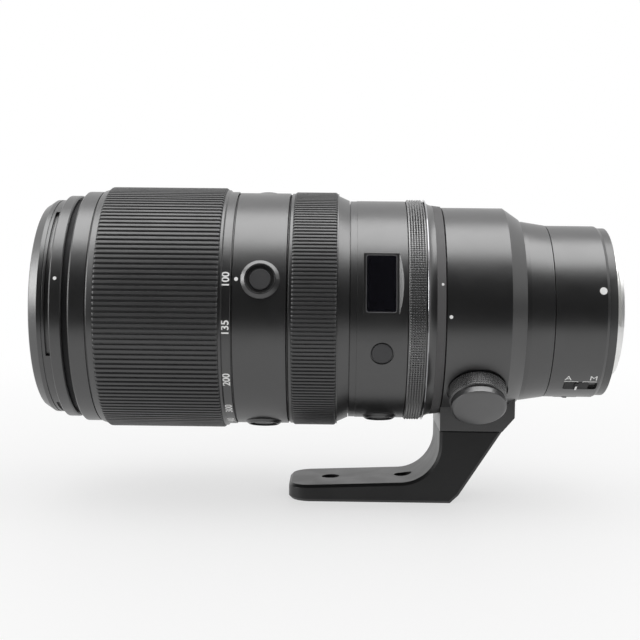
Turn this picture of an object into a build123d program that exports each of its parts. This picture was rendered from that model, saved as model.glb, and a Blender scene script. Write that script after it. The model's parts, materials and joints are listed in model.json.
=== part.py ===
from build123d import *
import os
from math import atan2, asin, cos, degrees, pi, radians, sin

# A telephoto zoom lens for a mirrorless camera, in millimetres.
# The optical axis is X. The origin is the middle of the mount flange, the camera is on the +X
# side and the glass looks towards -X. +Z is up and the collar's foot stands on the ground.
# Stations are distances in front of the mount flange, so a station s lies at x = -s.
# Clock angles turn about the axis: 0 is the side that faces -Y, and 90 is the top.

# Clearances and cutting values that every sub-part shares.
SEAT_GAP = 0.05         # between faces of pieces that are fixed to each other
RUN_GAP = 0.3           # between rings that turn or slide on each other
SEAM = 0.35             # visible gap between two barrel sections
PIN_GAP = 0.08          # around a pin or a slider in its slot
OVERRUN = 2.0           # how far a cut runs past the face that it opens
EDGE_CHAMFER = 0.5      # broken edge of a turned ring

# Lengths of the outside sections, from the mount flange forwards.
GASKET_LENGTH = 2.7
REAR_BARREL_LENGTH = 21.15
FLARE_LENGTH = 9.05
COLLAR_REAR_GAP = 1.9
COLLAR_BEVEL_LENGTH = 6.3
COLLAR_BAND_LENGTH = 25.0
INDEX_BAND_LENGTH = 3.6
INDEX_COVE_LENGTH = 2.9
TRIM_BAND_LENGTH = 0.8
CONTROL_RING_LENGTH = 7.1
PANEL_LENGTH = 19.5
PANEL_FRONT_BAND_LENGTH = 2.75
FOCUS_CONE_LENGTH = 4.45
FOCUS_REAR_LIP_LENGTH = 0.6
FOCUS_GRIP_LENGTH = 17.0
FOCUS_FRONT_LIP_LENGTH = 1.9
BUTTON_BARREL_LENGTH = 20.6
SCALE_BAND_LENGTH = 3.6
ZOOM_REAR_LIP_LENGTH = 1.5
ZOOM_GRIP_LENGTH = 47.1
ZOOM_FRONT_LIP_LENGTH = 3.2
NAME_RING_LENGTH = 6.5
FRONT_GAP_LENGTH = 2.7
HOOD_BAND_LENGTH = 4.8
HOOD_MOUNT_LENGTH = 4.9
RIM_BEVEL_LENGTH = 3.8

# Stations of the seams between those sections.
S_REAR = GASKET_LENGTH
S_FLARE = S_REAR + REAR_BARREL_LENGTH
S_FLARE_END = S_FLARE + FLARE_LENGTH
S_COLLAR = S_FLARE_END + COLLAR_REAR_GAP
S_COLLAR_BAND = S_COLLAR + COLLAR_BEVEL_LENGTH
S_INDEX = S_COLLAR_BAND + COLLAR_BAND_LENGTH
S_COVE = S_INDEX + INDEX_BAND_LENGTH
S_TRIM = S_COVE + INDEX_COVE_LENGTH
S_CONTROL = S_TRIM + TRIM_BAND_LENGTH
S_PANEL = S_CONTROL + CONTROL_RING_LENGTH
S_PANEL_BAND = S_PANEL + PANEL_LENGTH
S_FOCUS = S_PANEL_BAND + PANEL_FRONT_BAND_LENGTH
S_FOCUS_LIP = S_FOCUS + FOCUS_CONE_LENGTH
S_FOCUS_GRIP = S_FOCUS_LIP + FOCUS_REAR_LIP_LENGTH
S_FOCUS_GRIP_END = S_FOCUS_GRIP + FOCUS_GRIP_LENGTH
S_BUTTONS = S_FOCUS_GRIP_END + FOCUS_FRONT_LIP_LENGTH
S_ZOOM = S_BUTTONS + BUTTON_BARREL_LENGTH
S_ZOOM_LIP = S_ZOOM + SCALE_BAND_LENGTH
S_ZOOM_GRIP = S_ZOOM_LIP + ZOOM_REAR_LIP_LENGTH
S_ZOOM_GRIP_END = S_ZOOM_GRIP + ZOOM_GRIP_LENGTH
S_NAME = S_ZOOM_GRIP_END + ZOOM_FRONT_LIP_LENGTH
S_NAME_END = S_NAME + NAME_RING_LENGTH
S_HOOD_BAND = S_NAME_END + FRONT_GAP_LENGTH
S_HOOD_MOUNT = S_HOOD_BAND + HOOD_BAND_LENGTH
S_RIM_BEVEL = S_HOOD_MOUNT + HOOD_MOUNT_LENGTH
S_RIM = S_RIM_BEVEL + RIM_BEVEL_LENGTH

# Marks, buttons and the display all stand on the lens body's own top line.
BODY_CLOCK = 16.8

# Zoom movement.
ZOOM_TURN = 85.0        # degrees from the widest to the longest setting
FOLLOWER_COUNT = 3
FOLLOWER_RADIUS = 2.0
FOLLOWER_BACK = 8.0     # from the barrel's rear end to the followers
FOLLOWER_CLOCK = 60.0
SLOT_END = 0.6          # spare length at the end of a guide or cam slot

# The telescoping tubes, from the inside out.
GUIDE_BORE_RADIUS = 40.6
GUIDE_WALL = 1.2
GUIDE_GAP = 0.6
BARREL_WALL = 1.2
CAM_WALL = 1.1
SLEEVE_GAP = 0.2
SLEEVE_WALL = 1.2
RING_GAP = 0.35
ZOOM_RING_WALL = 1.15
GRIP_BASE = 0.45
ZOOM_RIB_HEIGHT = 0.6
R_GUIDE = GUIDE_BORE_RADIUS + GUIDE_WALL
R_BARREL_BORE = R_GUIDE + GUIDE_GAP
R_BARREL = R_BARREL_BORE + BARREL_WALL
R_CAM_BORE = R_BARREL + RUN_GAP
R_CAM = R_CAM_BORE + CAM_WALL
R_SLEEVE_BORE = R_CAM + SLEEVE_GAP
R_SLEEVE = R_SLEEVE_BORE + SLEEVE_WALL
R_ZOOM_BORE = R_SLEEVE + RING_GAP
R_ZOOM_SEAT = R_ZOOM_BORE + ZOOM_RING_WALL
R_ZOOM_ROOT = R_ZOOM_SEAT + SEAT_GAP + GRIP_BASE
R_ZOOM_CREST = R_ZOOM_ROOT + ZOOM_RIB_HEIGHT
SCALE_BAND_WALL = 0.75
R_SCALE = R_ZOOM_BORE + SCALE_BAND_WALL
ZOOM_LIP_DROP = 0.2     # the lips beside the grip stand below its rib roots by this
R_ZOOM_LIP = R_ZOOM_ROOT - ZOOM_LIP_DROP
BUTTON_BARREL_WALL = 0.7
R_BUTTONS = R_SLEEVE + BUTTON_BARREL_WALL
NAME_RING_WALL = 0.55
R_NAME = R_SLEEVE + SEAT_GAP + NAME_RING_WALL
NAME_FLANGE = 1.3
NAME_BEVEL = 0.6
NAME_BORE_GAP = 0.4
GUIDE_REAR = 1.25       # station of the guide tube's rear end in front of the focus seam
GUIDE_FLANGE = 2.6
GUIDE_FRONT_SPARE = 2.4 # tube left in front of its slots
GUIDE_CELL_GAP = 0.75   # between the tube and the front cell behind the front glass
ZOOM_RIB_COUNT = 150
FOCUS_RIB_COUNT = 184
RIB_GROOVE_SHARE = 0.42 # part of each rib pitch that is groove
RIB_END_BEVEL = 0.45
RIB_END_SHARE = 0.3     # part of a rib's height that stands at its very end

# The front barrel with its rings and the front glass.
BARREL_REAR = 2.2       # the tube's rear end stands this far behind the button barrel's rear seam
BARREL_SEAT = 2.2       # how far the tube reaches into the filter ring
R_HOOD_BAND = 45.3
R_HOOD_MOUNT = 43.5
R_RIM = 41.0
FILTER_RADIUS = 38.5
FILTER_DEPTH = 5.2
FILTER_RING_WALL = 1.9
HOOD_SLOT_COUNT = 3
HOOD_SLOT_ARC = 84.5
HOOD_SLOT_CLOCK = 19.6
HOOD_SLOT_WIDTH = 2.0
HOOD_SLOT_DEPTH = 1.3
RIM_LINE_WIDTH = 0.45
RIM_LINE_DEPTH = 0.35
RIM_LINE_BACK = 1.6
FRONT_ELEMENT_RADIUS = 36.4
FRONT_ELEMENT_EDGE = 6.2
FRONT_ELEMENT_SAG = 4.2
FRONT_ELEMENT_REAR_SAG = 0.8
DOUBLET_RADIUS = 35.4
DOUBLET_EDGE = 5.2
DOUBLET_SAG = 1.6
DOUBLET_REAR_SAG = -1.6
FRONT_LENS_SPACE = 3.0  # between the front element's rear edge and the doublet's front edge
CELL_LEDGE = 1.6        # how far a ledge reaches in front of or behind the glass
RETAINER_LENGTH = 3.1
RETAINER_GAP = 0.4      # in front of the glass's edge
RETAINER_COVER = 1.0    # how far the retaining ring covers the glass
RETAINER_STEPS = 3
CELL_TAIL = 1.4
SEAL_LENGTH = 2.0
SEAL_GAP = 0.12

# The cam tube and the keys that carry the zoom ring's turn to it.
TAIL_WEB = 1.6          # wall that joins the fixed barrel's tail to its sleeve
CAM_REAR_CLEAR = 0.4    # in front of that wall
CAM_FRONT_CLEAR = 1.6   # behind the seal
KEY_COUNT = 2
KEY_CLOCK = -55.0
KEY_LENGTH = 5.0
KEY_WIDTH = 3.0
KEY_BACK = 0.8          # behind the zoom grip's rear end
KEY_BITE = 0.25         # how deep a key sits in the zoom ring
SLOT_ARC_SPARE = 1.5    # degrees of spare turn at each end of the key slots

# The focus ring.
FOCUS_BORE_GAP = 0.3
FOCUS_TAIL_WALL = 1.35
R_FOCUS_TAIL_BORE = 43.9
R_FOCUS_TAIL = R_FOCUS_TAIL_BORE + FOCUS_TAIL_WALL
R_FOCUS_BORE = R_FOCUS_TAIL + FOCUS_BORE_GAP
FOCUS_RING_WALL = 1.15
FOCUS_GRIP_BASE = 0.35
FOCUS_RIB_HEIGHT = 0.5
R_FOCUS_SEAT = R_FOCUS_BORE + FOCUS_RING_WALL
R_FOCUS_ROOT = R_FOCUS_SEAT + SEAT_GAP + FOCUS_GRIP_BASE
R_FOCUS_CREST = R_FOCUS_ROOT + FOCUS_RIB_HEIGHT
FOCUS_LIP_DROP = 0.05
R_FOCUS_LIP = R_FOCUS_ROOT - FOCUS_LIP_DROP
FOCUS_CONE_DROP = 0.8
R_FOCUS_CONE = R_FOCUS_LIP - FOCUS_CONE_DROP
FOCUS_REAR_WALL = 4.6
TAIL_FLANGE = 3.0

# The panel barrel with its display, and the control ring behind it.
R_PANEL = 44.3
PANEL_BAND_DROP = 0.15
PANEL_WALL = 3.0
SPIGOT_GAP = 0.1
SPIGOT_WALL = 1.0
R_SPIGOT_BORE = R_GUIDE + SPIGOT_GAP
R_SPIGOT = R_SPIGOT_BORE + SPIGOT_WALL
SPIGOT_LENGTH = 9.0
R_REAR_SPIGOT = 42.7
REAR_SPIGOT_LENGTH = 9.2
WINDOW_LENGTH = 13.6
WINDOW_HEIGHT = 23.8
WINDOW_FRONT = 2.4      # from the panel barrel's front line to the window's flat
WINDOW_GLASS_MARGIN = 0.9
WINDOW_CORNER = 1.2
WINDOW_GLASS = 0.8
WINDOW_LEDGE = 0.9
DISPLAY_THICKNESS = 1.5
DISPLAY_BUTTON_RADIUS = 4.05
DISPLAY_BUTTON_GROOVE = 0.5
DISPLAY_GROOVE_DEPTH = 0.8
DISPLAY_BUTTON_CLOCK = -18.8
DISPLAY_BUTTON_BACK = 9.7
R_CONTROL = 45.0
CONTROL_RIDGES = 6
CONTROL_RIDGE_SPAN = 6.1
CONTROL_RIDGE_DEPTH = 0.45
R_TRIM = 45.1

# The fixed index ring and the track that the collar turns on.
R_INDEX_COVE = 44.0
R_INDEX_BAND = 42.7
R_INDEX_REAR = 42.3
R_TRACK = 38.7
TRACK_WALL = 1.4
COLLAR_BORE_GAP = 0.25
R_TRACK_BORE = R_TRACK - TRACK_WALL
TRACK_REAR = 2.3        # the track's rear end stands this far in front of the collar's bevel
TRACK_FRONT = 4.9       # and its front end this far in front of the index seam

# The collar, its foot and its clamping knob.
R_COLLAR = 41.9
R_COLLAR_REAR = 37.6
R_COLLAR_REAR_BORE = 36.95
BLOCK_WIDTH = 36.0
BLOCK_BOTTOM = 47.6
BLOCK_LENGTH = 29.8
BLOCK_REAR_TOP = 41.8   # where the block's slanted rear face begins, below the axis
BLOCK_TOP = 33.0
BLOCK_BREAK = 0.3       # broken edge along the seam above the foot
FOOT_GAP = 0.12
FOOT_BOTTOM = 76.8
FOOT_LENGTH = 60.5      # from the arm's front face to the foot's front end
FOOT_FRONT_THICKNESS = 6.4
FOOT_ROOT_THICKNESS = 8.1
FOOT_COVE = 15.8
FOOT_REAR_REACH = 4.6   # flat underside behind the arm's front face
FOOT_HEEL = 3.2
FOOT_CORNER = 9.0
FOOT_EDGE = 1.1
SLANT_LENGTH = 16.8     # run of the slanted rear face from the seam to the heel
SLANT_TOP = 5.0
FOOT_HOLE_RADIUS = 3.65
FOOT_HOLE_FRONT = 16.9
FOOT_HOLE_PITCH = 30.0
INSERT_RADIUS = 4.6
INSERT_LENGTH = 4.6
TRIPOD_THREAD_RADIUS = 3.175
BOLT_RADIUS = 2.0
BOLT_HEAD_RADIUS = 3.5
BOLT_HEAD_LENGTH = 3.0
BOLT_SOCKET = 1.6
BOLT_SOCKET_DEPTH = 1.5
BOLT_FRONT = 6.6
BOLT_PITCH_X = 10.0
BOLT_PITCH_Y = 19.0
BOLT_SEAT = 42.3        # under a bolt's head, below the axis
BOLT_BITE = 5.5         # bolt in the foot
KNOB_CLOCK = -45.0
KNOB_STATION = 52.55
KNOB_SEAT = 40.3
KNOB_RADIUS = 11.2
KNOB_LENGTH = 10.5
KNOB_RIM_LENGTH = 6.6
KNOB_GROOVE = 0.6
KNOB_GROOVE_DEPTH = 0.5
KNOB_BEVEL = 0.9
KNOB_TEETH = 64
KNOB_TOOTH = 0.35
KNOB_STUD_RADIUS = 3.0
KNOB_FLOOR = 0.2
SPOT_MARGIN = 0.7

# The rear barrels, the mount and what it carries.
R_REAR_BARREL = 35.0
R_FLARE = 36.55
R_FLARE_REAR = 35.15
REAR_WALL = 1.8
REAR_EDGE = 1.1
FLARE_FLANGE = 3.0
FLARE_STEP = 2.6
FLARE_BORE = 34.6
SHELL_SPIGOT_LENGTH = 3.8
SHELL_SPIGOT_WALL = 1.6
R_GASKET = 34.2
GASKET_WALL = 1.9
GASKET_PROUD = 0.35
R_MOUNT = 32.2
MOUNT_THROAT_RADIUS = 24.4
BAYONET_WALL = 1.5
BAYONET_LENGTH = 4.6
TAB_RADIUS = 27.4
TAB_FRONT = 3.0
TAB_THICKNESS = 1.3
TAB_COUNT = 3
TAB_ARC = 52.0
MOUNT_SCREW_COUNT = 4
MOUNT_SCREW_CIRCLE = 29.4
MOUNT_SCREW_HEAD = 1.8
MOUNT_SCREW_HEAD_DEPTH = 1.1
MOUNT_SCREW_RADIUS = 0.9
MOUNT_SCREW_LENGTH = 3.9
SCREW_CROSS = 2.0
SCREW_CROSS_WIDTH = 0.45
SCREW_CROSS_DEPTH = 0.5
REAR_SHELL_FLANGE = 3.6
REAR_SHELL_FLANGE_BORE = 25.6
CONTACT_INNER = 20.8
CONTACT_ARC = 62.0
CONTACT_PROUD = 3.4
CONTACT_DEPTH = 6.0
CONTACT_COUNT = 11
CONTACT_PITCH = 5.2
CONTACT_RADIUS = 0.75
CONTACT_HEIGHT = 0.5
CONTACT_SEAT = 2.0
SWITCH_CLOCKS = (-53.7, -86.4)
SWITCH_STATIONS = (11.1, 12.5)
SWITCH_LENGTH = 13.2
SWITCH_HEIGHT = 5.6
SWITCH_DEPTH = 1.3
SWITCH_CORNER = 1.0
SWITCH_TRAVEL = 3.2
SLIDER_LENGTH = 9.6
SLIDER_RIDGE = 1.5
SLIDER_RIDGE_HEIGHT = 0.35

# Round buttons.
FN_COUNT = 4
FN_BACK = 10.7          # behind the button barrel's front seam
BOSS_RADIUS = 7.4
BOSS_TOP_RADIUS = 6.0
BOSS_HEIGHT = 1.0
BOSS_LIP = 0.5
BOSS_RECESS = 1.15
BUTTON_RADIUS = 4.1
BUTTON_DROP = 0.45      # the cap's face below the boss's top
BUTTON_LENGTH = 1.2
BUTTON_EDGE = 0.3
BUTTON_TRAVEL = 0.5
SIDE_BOSS_SHARE = 0.93
SIDE_BUTTON_CLOCK = BODY_CLOCK - 90
SIDE_BUTTON_BACK = 9.8

# The inner frame and the lens units behind the telescoping tubes.
FRAME_OUTER = 36.6
FRAME_WALL = 1.4
FRAME_BORE = FRAME_OUTER - FRAME_WALL
FRAME_REAR = 5.9        # in front of the collar's bevel
FRAME_FLANGE = 3.5
FRAME_REAR_LEDGE = 5.0
FRAME_LEDGE_LENGTH = 2.5
REAR_CELL_RADIUS = 20.4
REAR_CELL_WALL = 2.0
REAR_CELL_BACK = 3.1
REAR_CELL_GAP = 0.1
REAR_CELL_FLANGE = 3.2
BAFFLE_THICKNESS = 1.0
BAFFLE_WIDTH = 28.0
BAFFLE_HEIGHT = 20.0
REAR_ELEMENT_EDGE = 3.4
REAR_ELEMENT_SAG = 2.0
REAR_ELEMENT_STATIONS = (9.5, 30.0)
BOARD_STATION = 12.0
BOARD_THICKNESS = 1.2
BOARD_INNER = 22.0
CHIP_SIZE = 5.0
CHIP_HEIGHT = 0.9
CHIP_COUNT = 8
CHIP_CIRCLE = 27.5
VR_STATION = 90.5
VR_LENGTH = 12.0
VR_FLOOR = 2.0
VR_BORE = 24.6
VR_FLOOR_BORE = 18.6
VR_FRAME_BORE = 19.4
VR_SHIFT = 1.0
VR_FRAME_LENGTH = 2.2
VR_CELL_LENGTH = 5.4
VR_AXIAL_GAP = 0.1
VR_SIDE_GAP = 0.2
VR_CELL_WALL = 2.2
VR_ELEMENT_EDGE = 3.4
VR_ELEMENT_SAG = 1.2
IRIS_STATION = 77.5
IRIS_WALL = 2.0
IRIS_LENGTH = 7.0
IRIS_FLOOR = 1.6
IRIS_OPENING = 17.0
IRIS_BLADES = 9
IRIS_BLADE = 0.12
IRIS_BLADE_PITCH = 0.2
IRIS_BLADE_INNER = 18.2
IRIS_BLADE_OUTER = 24.0
IRIS_BLADE_ARC = 62.0
IRIS_RING_LENGTH = 2.0
IRIS_RING_BORE = 19.0
FOCUS_CELL_STATION = 55.0
FOCUS_CELL_LENGTH = 6.5
FOCUS_CELL_RADIUS = 22.5
FOCUS_CELL_WALL = 2.4
FOCUS_ELEMENT_EDGE = 3.2
FOCUS_ELEMENT_SAG = 1.0
FOCUS_ARM_WIDTH = 6.0
FOCUS_ARM_LENGTH = 3.0
MOTOR_RADIUS = 4.4
MOTOR_LENGTH = 8.0
MOTOR_CIRCLE = 28.6
MOTOR_COUNT = 2
LEAD_SCREW_RADIUS = 1.1
LEAD_SCREW_LENGTH = 15.5
ZOOM_CELL_STATION = 110.0
ZOOM_CELL_LENGTH = 22.0
ZOOM_CELL_WALL = 3.6
ZOOM_GROUP_TRAVEL = 24.0
ZOOM_ELEMENT_EDGE = 2.6
ZOOM_ELEMENT_SAG = 2.2
ZOOM_ELEMENT_HOLLOW = 1.2
ZOOM_LEDGE = 4.0
ZOOM_FOLLOWER_CLOCK = 0.0
CELL_LIP = 1.0          # lip that a lens rests on


def turn(*outline, mode=Mode.ADD):
    """Turn an outline of (station, radius) corners about the optical axis."""
    with BuildSketch(Plane.XY) as section:
        with BuildLine():
            Polyline(*[(-station, radius) for station, radius in outline], close=True)
        make_face()
    return revolve(section.sketch, axis=Axis.X, mode=mode)


def ring(rear, front, inner, outer, mode=Mode.ADD):
    """Turn a plain ring between two stations."""
    return turn((rear, inner), (rear, outer), (front, outer), (front, inner), mode=mode)


def outward(clock):
    """Direction that leaves the axis at a clock angle."""
    return Vector(0, -cos(radians(clock)), sin(radians(clock)))


def radial_plane(station, clock, height):
    """Plane square to that direction, with its x along the axis, at a height from the axis."""
    direction = outward(clock)
    origin = Vector(-station, 0, 0) + direction * height
    return Plane(origin=origin, x_dir=(1, 0, 0), z_dir=direction)


def post(station, clock, bottom, top, radius, mode=Mode.ADD):
    """Round post or hole that stands out from the axis between two heights."""
    with BuildSketch(radial_plane(station, clock, bottom)) as disc:
        Circle(radius)
    return extrude(disc.sketch, amount=top - bottom, mode=mode)


def block(station, clock, bottom, top, length, width, corner=0, mode=Mode.ADD):
    """Block or pocket that stands out from the axis, length along the axis and width across."""
    with BuildSketch(radial_plane(station, clock, bottom)) as footprint:
        if corner:
            RectangleRounded(length, width, corner)
        else:
            Rectangle(length, width)
    return extrude(footprint.sketch, amount=top - bottom, mode=mode)


def sector(rear, front, inner, outer, clock, arc, mode=Mode.ADD):
    """Part of a plain ring, arc degrees wide about a clock angle."""
    with BuildPart(mode=Mode.PRIVATE) as piece:
        with BuildSketch(Plane.XY) as section:
            with BuildLine():
                Polyline((-rear, inner), (-rear, outer), (-front, outer), (-front, inner), close=True)
            make_face()
        revolve(axis=Axis.X, revolution_arc=arc)
    # The section lies on the +Y side, at clock 180, and turning about +X lowers the clock angle.
    return add(piece.part.rotate(Axis.X, 180 - clock - arc / 2), mode=mode)


def spherical(vertex, edge, radius):
    """Corner, middle and end points of a lens surface's arc, from the axis out to its edge."""
    sag = vertex - edge
    sphere = (radius * radius + sag * sag) / (2 * abs(sag))
    half = asin(radius / sphere) / 2
    side = 1 if sag > 0 else -1
    middle = (-(vertex - side * sphere * (1 - cos(half))), sphere * sin(half))
    return (-vertex, 0), middle, (-edge, radius)


def glass(rear_edge, front_edge, radius, front_sag, rear_sag):
    """Round glass between two edge stations; a positive sag bulges out of that side."""
    front = spherical(front_edge + front_sag, front_edge, radius)
    rear = spherical(rear_edge - rear_sag, rear_edge, radius)
    with BuildSketch(Plane.XY) as section:
        with BuildLine():
            ThreePointArc(*front)
            Line(front[-1], rear[-1])
            ThreePointArc(*rear)
            Line(rear[0], front[0])
        make_face()
    return revolve(section.sketch, axis=Axis.X)


def ribbed_sleeve(rear, front, bore, root, crest, count):
    """Rubber sleeve with straight ribs along the axis and bevelled rib ends."""
    pitch = 2 * pi * crest / count
    low = root + (crest - root) * RIB_END_SHARE
    high = crest + (crest - low)
    with BuildSketch(Plane.YZ.offset(-front - OVERRUN)) as section:
        Circle(crest)
        Circle(bore, mode=Mode.SUBTRACT)
        with PolarLocations(crest, count):
            Rectangle(2 * (crest - root), pitch * RIB_GROOVE_SHARE, mode=Mode.SUBTRACT)
    extrude(section.sketch, amount=front - rear + 2 * OVERRUN)
    turn((rear, bore - OVERRUN), (rear, low), (rear + 2 * RIB_END_BEVEL, high),
         (front - 2 * RIB_END_BEVEL, high), (front, low), (front, bore - OVERRUN),
         mode=Mode.INTERSECT)


def button_boss(station, clock, surface, scale):
    """Conical boss with the recess and the hole that a round button sits in."""
    top = surface + BOSS_HEIGHT
    with BuildSketch(radial_plane(station, clock, surface - BOSS_HEIGHT)) as foot_circle:
        Circle(BOSS_RADIUS * scale)
    with BuildSketch(radial_plane(station, clock, surface)) as waist_circle:
        Circle(BOSS_RADIUS * scale)
    with BuildSketch(radial_plane(station, clock, top)) as top_circle:
        Circle(BOSS_TOP_RADIUS * scale)
    extrude(foot_circle.sketch, amount=BOSS_HEIGHT)
    loft([waist_circle.sketch.face(), top_circle.sketch.face()])
    post(station, clock, top - BOSS_RECESS, top + OVERRUN, BOSS_TOP_RADIUS * scale - BOSS_LIP,
         mode=Mode.SUBTRACT)


def button_hole(station, clock, face, radius):
    """Hole that a round button moves in, its depth the cap's length and travel."""
    bottom = face - BUTTON_LENGTH - BUTTON_TRAVEL - SEAT_GAP
    post(station, clock, bottom, face + OVERRUN, radius + PIN_GAP, mode=Mode.SUBTRACT)


def button_cap(station, clock, face, radius):
    """Round button with a broken edge."""
    post(station, clock, face - BUTTON_LENGTH, face, radius)
    rim = edges().filter_by(GeomType.CIRCLE).sort_by_distance(outward(clock) * face * 2)
    chamfer(rim[0], length=BUTTON_EDGE)


def straight_slots(rear, front, inner, outer, clock, half_width):
    """Three slots along the axis through a tube wall, with round ends."""
    middle = (rear + front) / 2
    for number in range(FOLLOWER_COUNT):
        plane = radial_plane(middle, clock + number * 360 / FOLLOWER_COUNT, inner - OVERRUN)
        with BuildSketch(plane) as footprint:
            SlotOverall(front - rear, 2 * half_width)
        extrude(footprint.sketch, amount=outer - inner + 2 * OVERRUN, mode=Mode.SUBTRACT)


def lens_cell(rear, front, bore, outer):
    """Short tube that holds a lens against a lip at its rear end."""
    turn((rear, bore - CELL_LEDGE), (rear, outer), (front, outer), (front, bore),
         (rear + CELL_LIP, bore), (rear + CELL_LIP, bore - CELL_LEDGE))


parts = {}


def keep(name, builder):
    """Label a finished piece and list it for export."""
    builder.part.label = name
    parts[name] = builder.part


# Front barrel: the tube that comes out when the lens is zoomed.
s_barrel_rear = S_BUTTONS - BARREL_REAR
s_barrel_front = S_HOOD_BAND + BARREL_SEAT
s_follower = s_barrel_rear + FOLLOWER_BACK
with BuildPart() as front_barrel:
    ring(s_barrel_rear, s_barrel_front, R_BARREL_BORE, R_BARREL)
    for number in range(FOLLOWER_COUNT):
        post(s_follower, FOLLOWER_CLOCK + number * 360 / FOLLOWER_COUNT, R_BARREL_BORE - OVERRUN,
             R_BARREL + OVERRUN, FOLLOWER_RADIUS + SEAT_GAP, mode=Mode.SUBTRACT)
keep("front_barrel", front_barrel)

with BuildPart() as front_followers:
    for number in range(FOLLOWER_COUNT):
        post(s_follower, FOLLOWER_CLOCK + number * 360 / FOLLOWER_COUNT,
             GUIDE_BORE_RADIUS + PIN_GAP, R_CAM - PIN_GAP, FOLLOWER_RADIUS)
keep("front_followers", front_followers)

# Filter ring: the visible front ring, with the filter thread and the hood's bayonet slots.
r_filter_step = FILTER_RADIUS - FILTER_RING_WALL / 2
s_filter_step = S_RIM - FILTER_DEPTH
with BuildPart() as filter_ring:
    turn((S_HOOD_BAND, R_BARREL + SEAT_GAP), (S_HOOD_BAND, R_HOOD_BAND - EDGE_CHAMFER),
         (S_HOOD_BAND + EDGE_CHAMFER, R_HOOD_BAND), (S_HOOD_MOUNT - EDGE_CHAMFER, R_HOOD_BAND),
         (S_HOOD_MOUNT, R_HOOD_BAND - EDGE_CHAMFER), (S_HOOD_MOUNT, R_HOOD_MOUNT),
         (S_RIM_BEVEL, R_HOOD_MOUNT), (S_RIM, R_RIM), (S_RIM, FILTER_RADIUS),
         (s_filter_step, FILTER_RADIUS), (s_filter_step, r_filter_step),
         (s_barrel_front + SEAT_GAP, r_filter_step),
         (s_barrel_front + SEAT_GAP, R_BARREL + SEAT_GAP))
    chamfer(edges().filter_by(GeomType.CIRCLE).group_by(Axis.X)[0].sort_by(SortBy.RADIUS)[-1],
            length=EDGE_CHAMFER)
    for number in range(HOOD_SLOT_COUNT):
        sector(S_HOOD_MOUNT, S_HOOD_MOUNT + HOOD_SLOT_WIDTH, R_HOOD_MOUNT - HOOD_SLOT_DEPTH,
               R_HOOD_MOUNT + OVERRUN, HOOD_SLOT_CLOCK + number * 360 / HOOD_SLOT_COUNT,
               HOOD_SLOT_ARC, mode=Mode.SUBTRACT)
    ring(S_RIM_BEVEL - RIM_LINE_BACK - RIM_LINE_WIDTH, S_RIM_BEVEL - RIM_LINE_BACK,
         R_HOOD_MOUNT - RIM_LINE_DEPTH, R_HOOD_MOUNT + OVERRUN, mode=Mode.SUBTRACT)
keep("filter_ring", filter_ring)

# Front glass in its cell, held by a stepped ring.
r_cell = R_BARREL_BORE - SEAT_GAP
s_element_front = s_barrel_front - SEAT_GAP
s_element_rear = s_element_front - FRONT_ELEMENT_EDGE
s_doublet_front = s_element_rear - FRONT_LENS_SPACE
s_doublet_rear = s_doublet_front - DOUBLET_EDGE
s_cell_rear = s_doublet_rear - CELL_TAIL
with BuildPart() as front_element:
    glass(s_element_rear, s_element_front, FRONT_ELEMENT_RADIUS, FRONT_ELEMENT_SAG,
          FRONT_ELEMENT_REAR_SAG)
keep("front_element", front_element)

with BuildPart() as front_doublet:
    glass(s_doublet_rear, s_doublet_front, DOUBLET_RADIUS, DOUBLET_SAG, DOUBLET_REAR_SAG)
keep("front_doublet", front_doublet)

with BuildPart() as front_cell:
    turn((s_cell_rear, DOUBLET_RADIUS - CELL_LEDGE), (s_cell_rear, r_cell),
         (s_barrel_front, r_cell), (s_barrel_front, FRONT_ELEMENT_RADIUS + SEAT_GAP),
         (s_element_rear - SEAT_GAP, FRONT_ELEMENT_RADIUS + SEAT_GAP),
         (s_element_rear - SEAT_GAP, DOUBLET_RADIUS + SEAT_GAP),
         (s_doublet_rear - SEAT_GAP, DOUBLET_RADIUS + SEAT_GAP),
         (s_doublet_rear - SEAT_GAP, DOUBLET_RADIUS - CELL_LEDGE))
keep("front_cell", front_cell)

with BuildPart() as retaining_ring:
    r_retainer = r_filter_step - SEAT_GAP
    r_retainer_bore = FRONT_ELEMENT_RADIUS - RETAINER_COVER
    s_retainer = s_barrel_front + RETAINER_GAP
    step_radius = (r_retainer - r_retainer_bore) / (RETAINER_STEPS + 1)
    step_length = RETAINER_LENGTH / (RETAINER_STEPS + 1)
    outline = [(s_retainer, r_retainer_bore), (s_retainer, r_retainer),
               (s_retainer + RETAINER_LENGTH, r_retainer)]
    for number in range(RETAINER_STEPS):
        level = s_retainer + RETAINER_LENGTH - number * step_length
        reach = r_retainer - (number + 1) * step_radius
        outline += [(level, reach), (level - step_length, reach)]
    outline += [(s_retainer + step_length, r_retainer_bore)]
    turn(*outline)
keep("retaining_ring", retaining_ring)

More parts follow.
